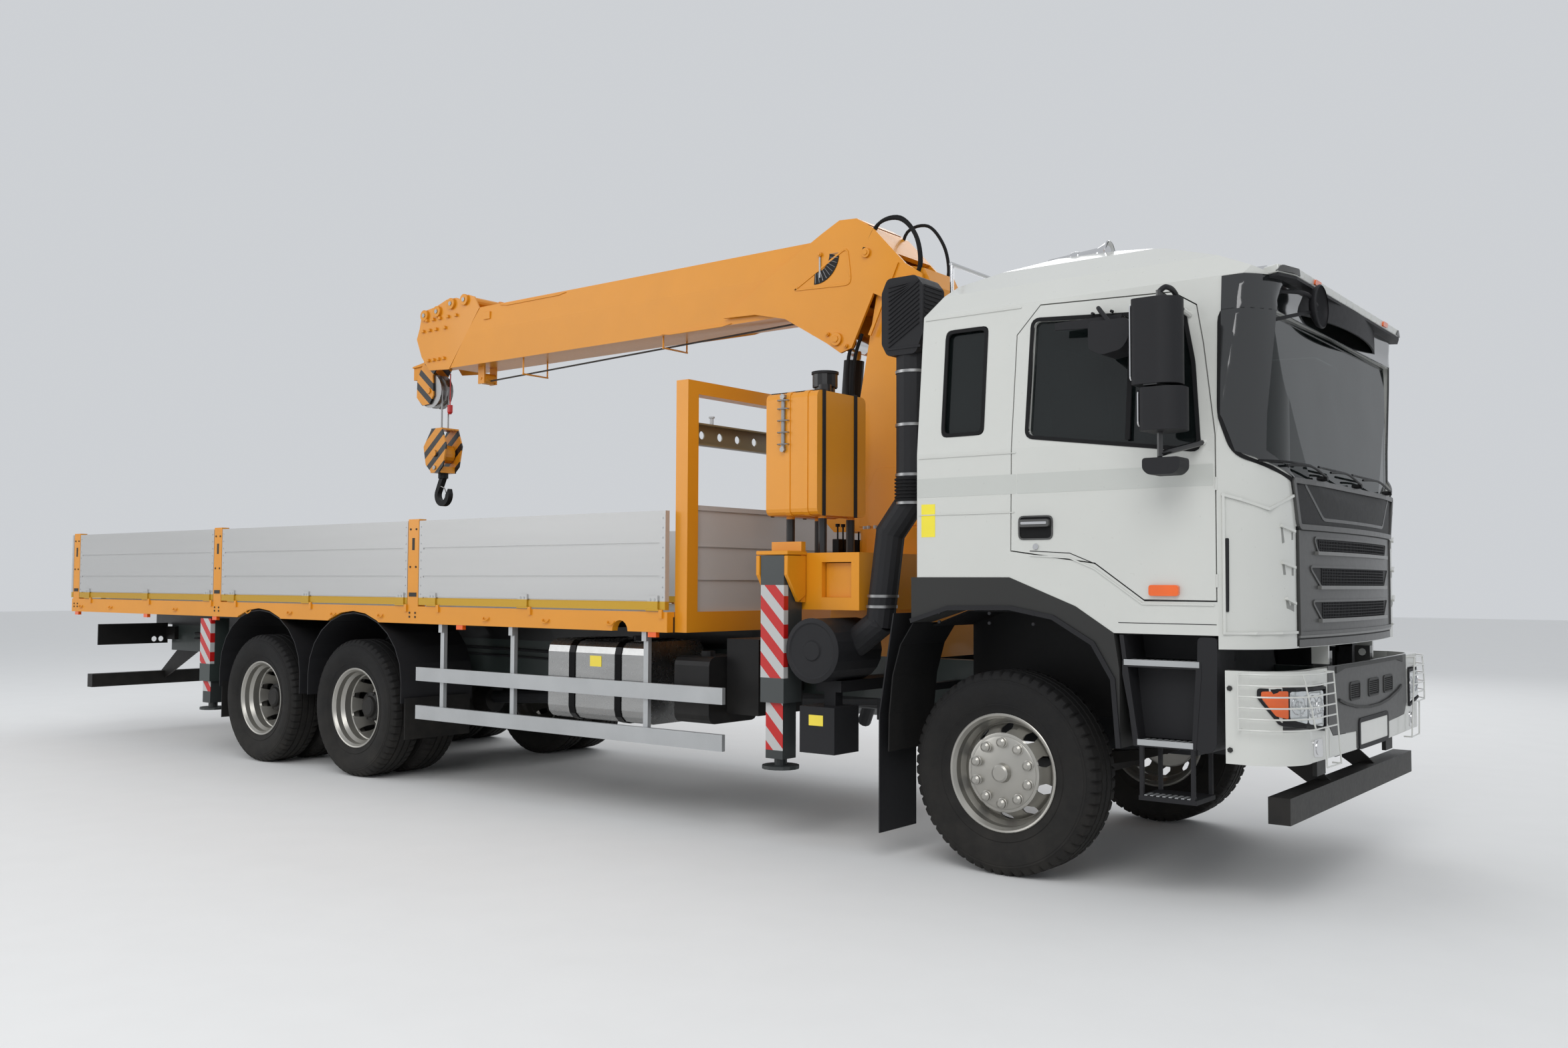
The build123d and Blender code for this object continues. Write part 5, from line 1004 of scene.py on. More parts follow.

# %% [markdown]
# ## Windscreen, wipers and visor
# The windscreen sits in a rubber seal and has a black printed border that widens at the corners. A
# border painted into the glass would share its transparency; a thin dark patch over it stays black
# and still reflects. The same dark finish covers the white cab front between the top of the glass and
# the visor, as painted shade for the visor's shadow. The three wipers rest along the lower edge, and the
# visor hangs from the roof's lip.

# %% Windscreen seal, wipers and the roof's lip
seal, wiper, brow, wrap = Shape(), Shape(), Shape(), Shape()
far_low, far_mid, far_high = way(CAB, 1205), way(CAB, 1236), way(CAB, 1240)
left_edge = [(880, 2005), (far_low, 2125), (far_mid, 2300), (far_high, 2800)]
band(seal, on_front, soft(left_edge + [(-s, z) for s, z in reversed(left_edge)], 60, 5), -18, 7, 3)
corner_glass = [(way(CAB, 870), 2012), (far_low, 2130), (far_mid, 2300), (far_high, 2800),
                (way(CAB, 1030), 2800), (way(CAB, 1090), 2310), (way(CAB, 1095), 2135)]
for flip in (-1, 1):
    patch(wrap, on_front, [(s * flip, z) for s, z in corner_glass], 8, 1, 24)
# Painted shade: a black sheet across the white cab front, from the top of the glass to the visor, stands in
# for the shadow under the visor.
patch(wrap, on_front, [(-far_high, 2960), (-far_high, 2795), (far_high, 2795), (far_high, 2960)], 8, 1, 24)
# One near-black finish for the printed border on the glass and for the painted shade under the visor.
black_print_and_painted_shade = finish("black_print_and_painted_shade", (22, 24, 25), 0.08, coat=1.0, uneven=0.05)
wrap.piece("windscreen_border_and_painted_shade", "cab", black_print_and_painted_shade, angle=30)
seal.piece("windscreen_seal", "cab", rubber, angle=30)
for pivot, tip in ((-560, -1010), (60, -480), (690, 110)):
    a, b = on_front(pivot, 2040, 34), on_front(tip, 2068, 34)
    wiper.rod(on_front(pivot, 2030, -10), on_front(pivot, 2034, 40), 13, 16)
    wiper.tube([a, on_front((pivot + tip) / 2, 2078, 42), b], 6, 8, 5)
    blade = [on_front(tip - 150 + 420 * i / 6, 2086, 20) for i in range(7)]
    wiper.tube(blade, 6, 6, 3)
wiper.piece("wipers", "cab", black_paint)
lip_line = [(s, 2962) for s in range(-1080, 1081, 120)]
band(brow, on_front, lip_line, 40, 60, 30, closed=False)
brow.piece("roof_lip", "cab", cab_paint, bevel=6, angle=40)
peak = Shape()
for a in range(-1080, 1080, 120):
    corners = [on_front(s, 2958, out) for s in (a, a + 120) for out in (66, -10)]
    peak.add([(x, y, z - drop) for x, y, z in corners for drop in (0, 14)], BLOCK_SIDES)
peak.piece("visor_top", "cab", black_plastic, angle=30)
roof_lamp, insert = Shape(), Shape()
for y in (-640, 640):
    lamp_outline = [(y - 46, 2970), (y + 46, 2970), (y + 46, 2996), (y - 46, 2996)]
    patch(roof_lamp, on_front, soft(lamp_outline, 8), 68, -50)
    far = way(CAB, y * 1.55)
    insert_outline = [(far - 90, 2968), (far + 90, 2968), (far + 60, 2998), (far - 60, 2998)]
    patch(insert, on_front, soft(insert_outline, 8), 64, -50)
insert.piece("roof_lip_inserts", "cab", grille_grey, bevel=2)
roof_lamp.piece("roof_lip_lamps", "cab", orange_lens, bevel=2)
print("windscreen:", len(made), "pieces so far")

# %% [markdown]
# ## Doors, mirrors and the cab's side
# A door is read from its seams, window divider, handle and the band under the glass. Cutting seams
# into a curved skin needs booleans that spoil its shading; thin strips laid on it read the same. Each
# trim rides on its door, so it swings with it. The mirrors' silver faces look rearward, so from the
# front only their dark housings show.

# %% Door trims
band_paint = finish("band_paint", (190, 192, 187), 0.30, coat=0.6, uneven=0.015)


def door_trims(node, flip):
    """Trims of one door; flip is 1 on the right side and -1 on the left."""
    def place(x, z, out):
        a, b, c = on_flank(x, z, out)
        return a, b * flip, c

    rubber_parts, dark_parts, chrome_parts, white_parts = Shape(), Shape(), Shape(), Shape()
    window = soft([(219, 2269), (1097, 2151), (1060, 2560), (1007, 2806), (228, 2859)], 30)
    band(rubber_parts, place, window, -20, 3, 8)
    band(rubber_parts, place, [(745, 2830), (741, 2212)], 24, 3, 10, closed=False)
    tinted = Shape()
    patch(tinted, place, soft([(155, 2073), (1170, 2073), (1170, 1972), (155, 1972)], 6), 1, 1)
    tinted.piece(f"{node}_tinted_band", node, band_paint, angle=30)
    recess = soft([(165, 1858), (357, 1858), (357, 1735), (165, 1735)], 30)
    patch(rubber_parts, place, recess, 1.2, 1)
    band(dark_parts, place, recess, -8, 5, 1)
    patch(dark_parts, place, soft([(178, 1838), (345, 1838), (345, 1800), (178, 1800)], 14), 26, 1)
    patch(chrome_parts, place, soft([(190, 1826), (333, 1826), (333, 1813), (190, 1813)], 5), 28, -24)
    x, y, z = place(262, 1700, 0)
    lock = [(0.5, -flip * 7), (15, -flip * 7), (17, -flip * 3), (17, 0)]
    chrome_parts.turn(lock, (x, y, z), "y", 20, closed=False)
    seam = [(228, 1677), (446, 1664), (586, 1608), (722, 1512), (828, 1437), (1179, 1435)]
    band(rubber_parts, place, seam, 4, 1, 1, closed=False)
    band(rubber_parts, place, [(700, 1326), (1179, 1326)], 3.5, 1, 1, closed=False)
    crease = [(232, 1660), (446, 1646), (580, 1592), (716, 1498), (824, 1423), (1170, 1421)]
    band(white_parts, place, crease, -7, 6, 2, closed=False)
    rubber_parts.piece(f"{node}_seals", node, rubber, angle=30)
    dark_parts.piece(f"{node}_band", node, grille_grey, angle=30)
    chrome_parts.piece(f"{node}_handle", node, chrome, angle=30)
    white_parts.piece(f"{node}_crease", node, cab_paint, angle=30)

    lamp = Shape()
    patch(lamp, place, soft([(860, 1510), (1006, 1510), (1006, 1458), (860, 1458)], 14), 20, 1)
    lamp.piece(f"{node}_side_lamp", node, orange_lens, bevel=3)
    visor = Shape()
    stay = [(376, 2822), (731, 2826), (725, 2766), (640, 2770), (376, 2786)]
    kerb_mirror = soft([(632, 2770), (632, 2640), (700, 2604), (800, 2622), (836, 2668), (836, 2770)], 24)
    visor.prism(stay, "y", -1252 * flip, -1240 * flip)
    visor.prism(kerb_mirror, "y", -1420 * flip, -1250 * flip)
    visor.tube([(600, -1180 * flip, 2850), (610, -1250 * flip, 2870), (700, -1310 * flip, 2770)], 11, 8, 5)
    for x in (560, 660):
        visor.rod((x, -1195 * flip, 2855), (x, -1215 * flip, 2855), 8, 6)
    visor.piece(f"{node}_over_window_mirror", node, black_plastic, bevel=4)
    frames, faces, housings = Shape(), Shape(), Shape()
    middle = -1452 * flip
    for x0, x1, z0, z1, half in ((893, 1111, 2427, 2825, 98), (929, 1131, 2214, 2412, 96)):
        rear_half = [(x0 + 4, middle - half), (x1 - 70, middle - half), (x1 - 12, middle - half * 0.6)]
        front_half = [(x, 2 * middle - y) for x, y in reversed(rear_half)]
        housings.prism(soft(rear_half + [(x1, middle)] + front_half, 30), "z", z0, z1)
    housings.piece(f"{node}_mirror_housings", node, black_plastic, bevel=22)
    for x0, z0, z1 in ((893, 2427, 2825), (929, 2214, 2425)):
        y0, y1 = -1450 * flip - 88, -1450 * flip + 88
        glass_outline = [(y0, z0 + 22), (y1, z0 + 22), (y1, z1 - 22), (y0, z1 - 22)]
        faces.prism(soft(glass_outline, 22), "x", x0 - 2, x0 + 4)
    faces.piece(f"{node}_mirror_glass", node, chrome)
    frames.tube([(1005, -1180 * flip, 2795), (1018, -1300 * flip, 2880), (1022, -1420 * flip, 2888),
                 (1000, middle, 2860)], 13, 10, 6)
    frames.tube([(1000, middle, 2120), (1000, -1440 * flip, 2070), (1040, -1380 * flip, 2050)], 12, 10, 6)
    low_mirror = soft([(932, 2092), (1109, 2092), (1109, 2040), (1080, 2014), (960, 2014), (932, 2040)], 16)
    frames.prism(low_mirror, "y", -1500 * flip, -1380 * flip)
    frames.piece(f"{node}_mirror_frame", node, black_plastic, bevel=4)


for side, flip in RIGHT_AND_LEFT:
    door_trims(f"door_{side}", flip)
print("doors:", len(made), "pieces so far")

# %% [markdown]
# ## Cab sides and wheel arches
# Behind each door are a fixed window, pressed creases and the wheel arch. The arch could be cut from
# the shell, but on the real cab it has a separate black edge, so it is a bent strip on the flank. The
# well behind it is closed by thin panels, because light that leaks through a wheel arch gives a model
# away at once. Strips follow the arch, and a black wall further in is painted shade for the dark under
# the cab, covering the yellow crane base that would show through.

# %% Cab sides: rear quarter, label and the arch
trim, paint_line = Shape(), Shape()
quarter = soft([(-298, 2288), (-39, 2288), (-39, 2871), (-298, 2871)], 50)
band(trim, on_flank, quarter, 20, 3, 6)
tinted, label = Shape(), Shape()
patch(tinted, on_flank, soft([(-440, 2073), (150, 2073), (150, 1972), (-440, 1972)], 6), 1, 1)
patch(label, on_flank, [(-415, 1935), (-330, 1935), (-330, 1760), (-415, 1760)], 1.5, 1)
tinted.mirrored()
tinted.piece("cab_tinted_band", "cab", band_paint, angle=30)
label.piece("blank_yellow_label", "cab", finish("label_yellow", (236, 220, 60), 0.4))
band(paint_line, on_flank, [(-430, 1880), (140, 1880)], -5, 5, 1, closed=False)
for z in (2180, 2940):
    band(paint_line, on_flank, [(-430, z), (150, z)], 4, 5, 1, closed=False)
for shape in (trim, paint_line):
    shape.mirrored()
trim.piece("cab_side_trims", "cab", rubber, angle=30)
paint_line.piece("cab_side_creases", "cab", cab_paint, angle=30)
arch, flap = Shape(), Shape()
arch_line = [(-479, 1300), (-250, 1372), (113, 1378), (350, 1335), (560, 1215), (660, 1050), (686, 724)]
band(arch, lambda x, z, out: (x, -1247 - out, z), arch_line, 24, 9, 6, closed=False)
flap_line = [(-479, 1300), (-560, 1180), (-610, 1010), (-632, 800), (-636, 600)]
for (x0, z0), (x1, z1) in zip(flap_line, flap_line[1:]):
    flap.prism([(x0, z0), (x1, z1), (x1 + 8, z1), (x0 + 8, z0)], "y", -1235, -780)
for z in (1290, 1340):
    for x in (-300, 0, 250):
        arch.rod((x, -1247, z + 20), (x, -1257, z + 20), 9, 6)
well_line = [(-470, 1290)] + arch_line[1:]
for (x0, z0), (x1, z1) in zip(well_line, well_line[1:]):
    flap.prism([(x0, z0 - 4), (x1, z1 - 4), (x1, z1 - 12), (x0, z0 - 12)], "y", -1040, -600)
# Painted shade: a flat black wall inside each wheel well stands in for the dark under the cab.
shade_wall = Shape()
wall_outline = [(-470, 1290), (-250, 1360), (113, 1366), (350, 1322), (560, 1205), (650, 1050), (650, 800),
                (-470, 800)]
shade_wall.prism(wall_outline, "y", -598, -592)
shade_wall.mirrored()
shade_wall.piece("wheel_well_painted_shade_walls", "chassis", black_paint)
for shape in (arch, flap):
    shape.mirrored()
arch.piece("arch_edges", "cab", black_plastic, angle=30)
flap.piece("front_mud_flaps", "chassis", rubber, bevel=1)
print("cab side:", len(made), "pieces so far")

# %% [markdown]
# ## Round mirror, steps and roof
# The round mirror over the windscreen shows the driver the ground before the bumper. It and the horns
# are turned from short profiles, since a lathe shape needs only a few points. The step treads are
# rows of small bars, which read as a non-slip grating without any cut-outs.

# %% Round mirror, steps and roof
corner = Shape()
dish = [(0.5, -34), (60, -30), (96, -10), (106, 6), (107, 14), (100, 18)]
corner.turn(dish, (1500, -710, 2854), "x", 36, closed=False)
corner.tube([(1490, -716, 2860), (1470, -860, 2900), (1330, -1040, 2880), (1290, -1120, 2770)], 11, 10, 6)
corner.tube([(1490, -720, 2830), (1450, -900, 2790), (1330, -1060, 2740)], 9, 10, 6)
corner.box(1250, 1310, -1170, -1080, 2690, 2790)
corner.piece("front_round_mirror", "cab", black_plastic, bevel=3)
steps = Shape()
for x0, x1, z in ((717, 1103, 1147), (782, 1070, 770), (795, 1076, 511)):
    for x in range(x0 + 24, x1 - 20, 30):
        steps.box(x, x + 16, -1238, -1160, z, z + 5)
for x0, x1, z in ((725, 1095, 1147), (790, 1062, 770)):
    steps.box(x0, x1, -1245, -1239, z - 22, z + 6)
steps.mirrored()
well = Shape()
well.prism(soft([(1086, 1268), (1180, 1268), (1172, 760), (1130, 728), (1074, 742)], 24), "y", -1241, -1000)
well.prism([(700, 1270), (722, 1270), (790, 742), (768, 742)], "y", -1238, -1000)
well.prism([(700, 1270), (1180, 1270), (1180, 1150), (700, 1150)], "y", -1008, -1000)
well.prism([(745, 1120), (1085, 1120), (1065, 775), (780, 775)], "y", -1130, -1122)
well.mirrored()
well.piece("step_wells", "chassis", black_plastic, bevel=4)
steps.piece("step_treads", "chassis", galvanised, bevel=1)
roof = Shape()
bell = [(62, 0), (66, -6), (58, -14), (36, -60), (22, -120), (14, -200)]
driver_case = [(0.5, -226), (30, -222), (34, -200), (30, -178), (14, -176)]
for y in (-700, 700):
    roof.turn(bell, (430, y, 3285), "x", 32, closed=False)
    roof.turn(driver_case, (430, y, 3285), "x", 24, closed=False)
roof.piece("horn_bells", "cab", chrome)
lights = Shape()
for y in (-560, -280, 0, 280, 560):
    lights.box(1219, 1226, y - 40, y + 40, 3060, 3112)
lights.piece("roof_lamp_lenses", "cab", orange_lens, bevel=3)
print("mirror, steps, roof:", len(made), "pieces so far")

# %% [markdown]
# ## Crane
# The boom's root carries bosses, a load dial, and hoses that loop over its hinge. Welding the bosses
# into the plate would be true to the workshop, but as separate thin pieces they stay easy to move.
# The rope runs under the boom from the drum to the pulley, and stays taut.

# %% Boom root: dial, bosses, rope and hoses
ROOT_FACE = 216


def on_root(x, z, out):
    return x, -(ROOT_FACE + out), z


raised, dial, bright = Shape(), Shape(), Shape()
band(raised, on_root, soft([(-1630, 3747), (-2103, 3500), (-1597, 3476)], 60), 14, 5, 1)
fan = [(-1890 + r * cos(radians(a)), 3710 + r * sin(radians(a))) for r, turns in
       ((190, range(-95, 1, 8)), (112, range(1, -96, -8))) for a in turns]
patch(dial, on_root, fan, 4, 1)
for a in range(-91, 0, 10):
    c, s = cos(radians(a)), sin(radians(a))
    bright.rod((-1890 + 118 * c, -221, 3710 + 118 * s), (-1890 + 184 * c, -221, 3710 + 184 * s), 1.6, 6)
patch(bright, on_root, [(-1862, 3560), (-1850, 3560), (-1850, 3716), (-1862, 3716)], 9, 1)
for x, z, r in ((-1482, 3672, 32), (-1856, 3716, 16), (-1720, 3129, 44), (-1640, 3075, 14), (-1790, 3170, 14),
                (-1150, 3420, 60)):
    raised.rod((x, -ROOT_FACE, z), (x, -ROOT_FACE - 16, z), r, 28)
    raised.rod((x, -ROOT_FACE - 16, z), (x, -ROOT_FACE - 22, z), r * 0.55, 6)
patch(raised, on_root, [(-1250, 3560), (-1228, 3572), (-1440, 3120), (-1462, 3128)], 12, 1)
for shape in (raised, dial, bright):
    shape.mirrored()
raised.piece("root_bosses", "boom_base", yellow_paint, bevel=2, angle=30)
dial.piece("load_dial", "boom_base", black_paint, angle=30)
bright.piece("dial_lines", "boom_base", steel)
seams = Shape()
for x0, x1, z in ((-5186, -4381, 3808), (-2700, -2350, 3424), (-3350, -2660, 3352)):
    seams.prism([(x0, z), (x0 + 90, z - 14), (x1 - 90, z - 14), (x1, z)], "y", -188, -178)
seams.prism([(-5382, 3708), (-5302, 3708), (-5302, 3770), (-5382, 3770)], "y", -196, -180)
seams.mirrored()
seams.piece("boom_strips", "boom_base", yellow_paint, bevel=2)
rope = Shape()
rope.tube([(-1950, 0, 3336), (-5510, 0, 3226)], 7, 8, 1)
rope.piece("hoist_rope", "boom_base", rope_wire)
drum = Shape()
for i in range(22):
    drum.turn([(80, -6), (87, 0), (80, 6)], (-1900, -126 + 12 * i, 3255), "y", 28, closed=False)
drum.piece("rope_on_drum", "boom_base", rope_wire)
hoses = Shape()
for i, y in enumerate((-205, -188, 150)):
    hoses.tube([(-1500 + 20 * i, y, 3700), (-1400, y, 3850 + 12 * i), (-1240, y + 6, 3862 + 14 * i),
                (-1120, y + 8, 3740), (-1085, y + 10, 3560), (-1130, y + 10, 3440)], 11, 10, 6)
    hoses.rod((-1512 + 20 * i, y, 3672), (-1497 + 20 * i, y, 3712), 17, 6)
hoses.piece("boom_hoses", "boom_base", rubber)
print("boom root:", len(made), "pieces so far")

# %% [markdown]
# ## Boom head and hook
# The boom ends in a stack of plates with small lugs and large pins. Sharp lugs look sawn from a
# block, so each gets a narrow bevel that catches the light. The red weight hangs above the block on
# its own line: when the block lifts it, a switch stops the winch, so it rides on the head and not on
# the block.

# %% Boom head: lugs, guards and end bracket
head, bolts = Shape(), Shape()
for z, xs in ((3780, (-6150, -6060, -5970, -5860, -5750)), (3690, (-6200, -6110, -6020, -5900)),
              (3425, (-6120, -6050, -5980, -5910))):
    for x in xs:
        head.prism([(x - 16, z), (x + 16, z), (x + 10, z + 26), (x - 10, z + 26)], "y", -204, -183)
for x, z in ((-6180, 3838), (-6006, 3853), (-5815, 3898), (-5637, 3910)):
    head.rod((x, -184, z), (x, -206, z), 48, 28)
    bolts.rod((x, -204, z), (x, -212, z), 20, 6)
head.mirrored()
bolts.mirrored()
head.box(-6540, -6330, -34, 34, 3319, 3440)
head.prism([(-6330, 3470), (-6540, 3440), (-6540, 3425), (-6330, 3440)], "y", -50, 50)
head.piece("head_lugs", "boom_tip", yellow_paint, bevel=2, angle=30)
bolts.piece("head_pins", "boom_tip", steel)
sling = Shape()
sling.rod((-6060, 0, 3340), (-6060, 0, 3060), 5, 8)
sling.rod((-6060, 0, 3062), (-6060, 0, 3000), 24, 20)
sling.rod((-6060, 0, 3000), (-6060, 0, 2982), 24, 20, 12)
sling.piece("red_weight", "boom_tip", finish("weight_red", RED, 0.35, coat=0.4))
cheeks = Shape()
for y in (-92, 92):
    side = 1 if y > 0 else -1
    for x, z, r in ((-6140, 2635, 30), (-6140, 2510, 18)):
        cheeks.rod((x, y, z), (x, y + side * 12, z), r, 20)
cheeks.piece("block_pins", "hook_block", steel)
latch = Shape()
latch.tube([(-6150, -16, 2350), (-6105, -12, 2330), (-6085, -8, 2290)], 5, 8, 4)
latch.piece("hook_latch", "hook", steel)
print("boom head:", len(made), "pieces so far")

# %% [markdown]
# ## Column and legs
# The column turns on a ring that a circle of bolts holds down. An array modifier on one bolt would do
# as well; a loop over a circle keeps them one light piece. Hoses run up behind the column, the valve
# bank stands at its foot on the chassis, and each leg's beam ends in a bent guard plate that slides
# out with it.

# %% Column, base, legs and luff cylinder
base, dark, silver = Shape(), Shape(), Shape()
SLEWING_X, BOLT_CIRCLE = -1280, 302
for dx, dy in around(24, BOLT_CIRCLE):
    silver.rod((SLEWING_X + dx, dy, 1855), (SLEWING_X + dx, dy, 1882), 13, 6)
silver.piece("slewing_bolts", "column", galvanised)
cheek = [(-1560, 1880), (-1010, 1880), (-1035, 2050), (-1120, 2260), (-1420, 2260), (-1530, 2050)]
for side in (-1, 1):
    base.prism(cheek, "y", side * 180, side * 186)
base.box(-1010, -978, -150, 150, 2180, 2560)
base.piece("column_plates", "column", yellow_paint, bevel=3)
dark.tube([(-1590, -150, 2350), (-1660, -170, 2700), (-1640, -190, 3010), (-1560, -190, 3180)], 12, 10, 6)
dark.tube([(-1575, -120, 2300), (-1640, -140, 2660), (-1615, -160, 2980), (-1540, -180, 3150)], 12, 10, 6)
dark.piece("column_hoses", "column", rubber)
seal = Shape()
seal.rod((-1721, 0, 3117), (-1723, 0, 3100), 52, 24)
seal.piece("rod_gland", "luff_rod", steel)
bank = Shape()
for y in range(-276, 84, 60):
    bank.box(-1690, -1640, y - 24, y + 24, 1700, 1800)
    bank.rod((-1665, y, 1800), (-1665, y, 1880), 6, 8)
    bank.rod((-1665, y, 1880), (-1665, y, 1900), 15, 12)
bank.box(-1700, -1600, -320, 80, 1660, 1702)
bank.piece("valve_bank", "chassis", black_paint, bevel=2)
pipes = Shape()
for i in range(3):
    pipes.tube([(-1640, -260 + i * 40, 1680), (-1680 - i * 20, -420, 1600), (-1660, -560 - 30 * i, 1480),
                (-1560, -620 - 30 * i, 1380)], 11, 8, 5)
pipes.piece("valve_hoses", "chassis", rubber)
for (side, flip), x in zip(RIGHT_AND_LEFT, (-1440, -1110)):
    guard = Shape()
    for x0, x1 in ((x - 118, x - 92), (x + 92, x + 118)):
        guard.prism([(-1250 * flip, 1672), (-1070 * flip, 1672), (-1070 * flip, 1440), (-1140 * flip, 1400),
                     (-1250 * flip, 1560)], "x", x0, x1)
    guard.box(x - 118, x + 118, -1250 * flip, -1060 * flip, 1676, 1700)
    guard.piece(f"leg_guard_{side}", f"outrigger_{side}", yellow_paint, bevel=5)
print("column and legs:", len(made), "pieces so far")

# %% [markdown]
# ## Oil tank fittings
# The oil's level shows in a tube behind five wire hoops, and two straps hold the tank down. A strap
# could be one bent curve, but flat bars on the three sides that show keep its square section, and
# they lie on the tank's faces.

# %% Oil tank gauge, straps and caps
gauge, cap = Shape(), Shape()
gauge.rod((-1425, -1162, 2600), (-1425, -1162, 2312), 13, 16)
for z in (2330, 2400, 2470, 2540, 2590):
    hoop = [(-1462, -1150), (-1458, -1176), (-1425, -1182), (-1392, -1176), (-1388, -1150)]
    gauge.tube([(x, y, z) for x, y in hoop], 4, 6, 4)
for z in (2612, 2300):
    gauge.rod((-1425, -1150, z), (-1425, -1176, z), 18, 6)
gauge.piece("level_gauge", "chassis", steel)
for y in (-1085, -765):
    for x in (-1186, -1569):
        cap.box(x, x + 7, y - 15, y + 15, 1905, 2645)
    cap.box(-1566, -1182, y - 15, y + 15, 2641, 2648)
FILLER_X, FILLER_Y = -1400, -780
cap.rod((FILLER_X, FILLER_Y, 2790), (FILLER_X, FILLER_Y, 2806), 84, 28)
for dx, dy in around(6, 70):
    cap.rod((FILLER_X + dx, FILLER_Y + dy, 2706), (FILLER_X + dx, FILLER_Y + dy, 2722), 9, 6)
cap.piece("tank_straps", "chassis", black_plastic, bevel=1)
print("oil tank:", len(made), "pieces so far")

# %% [markdown]
# ## Intake
# Air for the engine comes down from the tall snorkel behind the cab. A bellows lets the tilting cab
# move against the fixed pipe, so its folds are drawn, one turned ring each. A bump pattern would do
# for the folds from afar, but not against the sky. Clamps and the ribs of the snorkel's mouth are
# thin pieces on the same pipe.

# %% Intake bellows, clamps and snorkel ribs
PIPE_X, PIPE_Y = -625, -1000
rings, clamps, ribs = Shape(), Shape(), Shape()
fold = [(94, -9), (104, -3), (104, 3), (94, 9)]
for z in range(1975, 2096, 20):
    rings.turn(fold, (PIPE_X, PIPE_Y, z), "z", 36, closed=False)
rings.piece("bellows", "chassis", rubber)
for z in (1962, 2120, 2700, 2400):
    clamps.turn([(96, -8), (99, -8), (99, 8), (96, 8)], (PIPE_X, PIPE_Y, z), "z", 40)
for x, z in ((-834, 1380), (-826, 1440)):
    clamps.turn([(86, -8), (90, -8), (90, 8), (86, 8)], (x, PIPE_Y, z), "z", 36)
clamps.piece("pipe_clamps", "chassis", steel)
for k in range(14):
    z = 2840 + k * 26
    ribs.rod((-722, -1103, z), (-522, -1103, min(z + 120, 3195)), 5, 6)
ribs.box(-732, -512, -1104, -1099, 2822, 2834)
for z in range(2850, 3170, 24):
    ribs.box(-500, -494, -1080, -890, z, z + 10)
ribs.piece("snorkel_ribs", "chassis", black_plastic)
disc = Shape()
lid = [(183, -1235), (186, -1240), (160, -1246), (150, -1240), (60, -1240), (54, -1248), (0.5, -1248)]
disc.turn(lid, (-1150, 0, 1127), "y", 48, closed=False)
disc.piece("air_cleaner_lid", "chassis", black_plastic, angle=25)
plates = Shape()
plates.box(-1200, -1100, -1202.5, -1200, 700, 760)
plates.box(-3010, -2905, -1193, -1190, 960, 1030)
plates.piece("blank_yellow_plates", "chassis", finish("plate_yellow", (236, 214, 70), 0.4))
print("intake:", len(made), "pieces so far")

# %% [markdown]
# ## Bed fittings
# Rivets, hinge leaves and latches give the long plain boards their scale. One table holds the three
# boards of a side with their hinges, and one loop makes both sides. The rivets and hinge leaves ride on
# their own board, so that they swing down with it; the post latches and rope hooks ride on the
# chassis, and the hooks keep clear of the hinges.

# %% Bed: latches, rivets, hinges and hooks
BED_SIDE = 1250
POSTS = (-4844, -7624, -10314)
# name, front end, rear end and hinge places of each board
BOARDS = [("front", -2287, -4775, (-4609, -3610, -2386)), ("middle", -4914, -7555, (-7375, -6243, -4990)),
          ("rear", -7694, -10245, (-10056, -8889, -7781))]
hinges = [x for board in BOARDS for x in board[3]]
for side, flip in RIGHT_AND_LEFT:
    face = -BED_SIDE * flip
    fixed, latches = Shape(), Shape()
    for x in POSTS:
        latches.box(x - 14, x + 14, face - 2 * flip, face + flip, 1745, 1835)
        latches.box(x - 44, x + 44, face - 3 * flip, face + flip, 1400, 1430)
        for dx in (-34, 34):
            for z in (1250, 1280, 1620, 1900):
                latches.rod((x + dx, face, z), (x + dx, face - 5 * flip, z), 8, 6)
    for x in range(-10200, -2300, 620):
        if min(abs(x - hinge) for hinge in hinges) > 120:
            hook = [(-30, 0, 1262), (-24, 12, 1246), (0, 16, 1238), (24, 12, 1246), (30, 0, 1262)]
            fixed.tube([(x + dx, face - out * flip, z) for dx, out, z in hook], 5, 6, 3)
    latches.piece(f"post_latches_{side}", "chassis", dark_plastic)
    fixed.piece(f"rope_hooks_{side}", "chassis", yellow_paint)
    for name, front, rear, places in BOARDS:
        rivets = Shape()
        for x in (front - 22, rear + 22):
            for z in range(1420, 1950, 62):
                rivets.rod((x, face, z), (x, face - 3 * flip, z), 5, 6)
        for x in places:
            rivets.box(x - 34, x + 34, face - 6 * flip, face, 1350, 1424)
            for dx in (-18, 18):
                rivets.rod((x + dx, face - 5 * flip, 1404), (x + dx, face - 13 * flip, 1404), 9, 6)
        rivets.piece(f"board_fittings_{name}_{side}", f"drop_side_{name}_{side}", galvanised)
gate = Shape()
for y in (-1000, -350, 350, 1000):
    gate.box(-10444, -10440, y - 34, y + 34, 1350, 1424)
for y in (-1200, 1200):
    for z in range(1420, 1950, 62):
        gate.rod((-10440, y, z), (-10446, y, z), 5, 6)
gate.piece("tailgate_fittings", "tailgate", galvanised)
pins = Shape()
for y in (-900, -300, 300, 900):
    pins.rod((-2217, y, 2525), (-2217, y, 2570), 12, 6)
    pins.rod((-2217, y, 2570), (-2217, y, 2580), 20, 6)
pins.piece("headboard_pins", "chassis", galvanised)
print("bed:", len(made), "pieces so far")

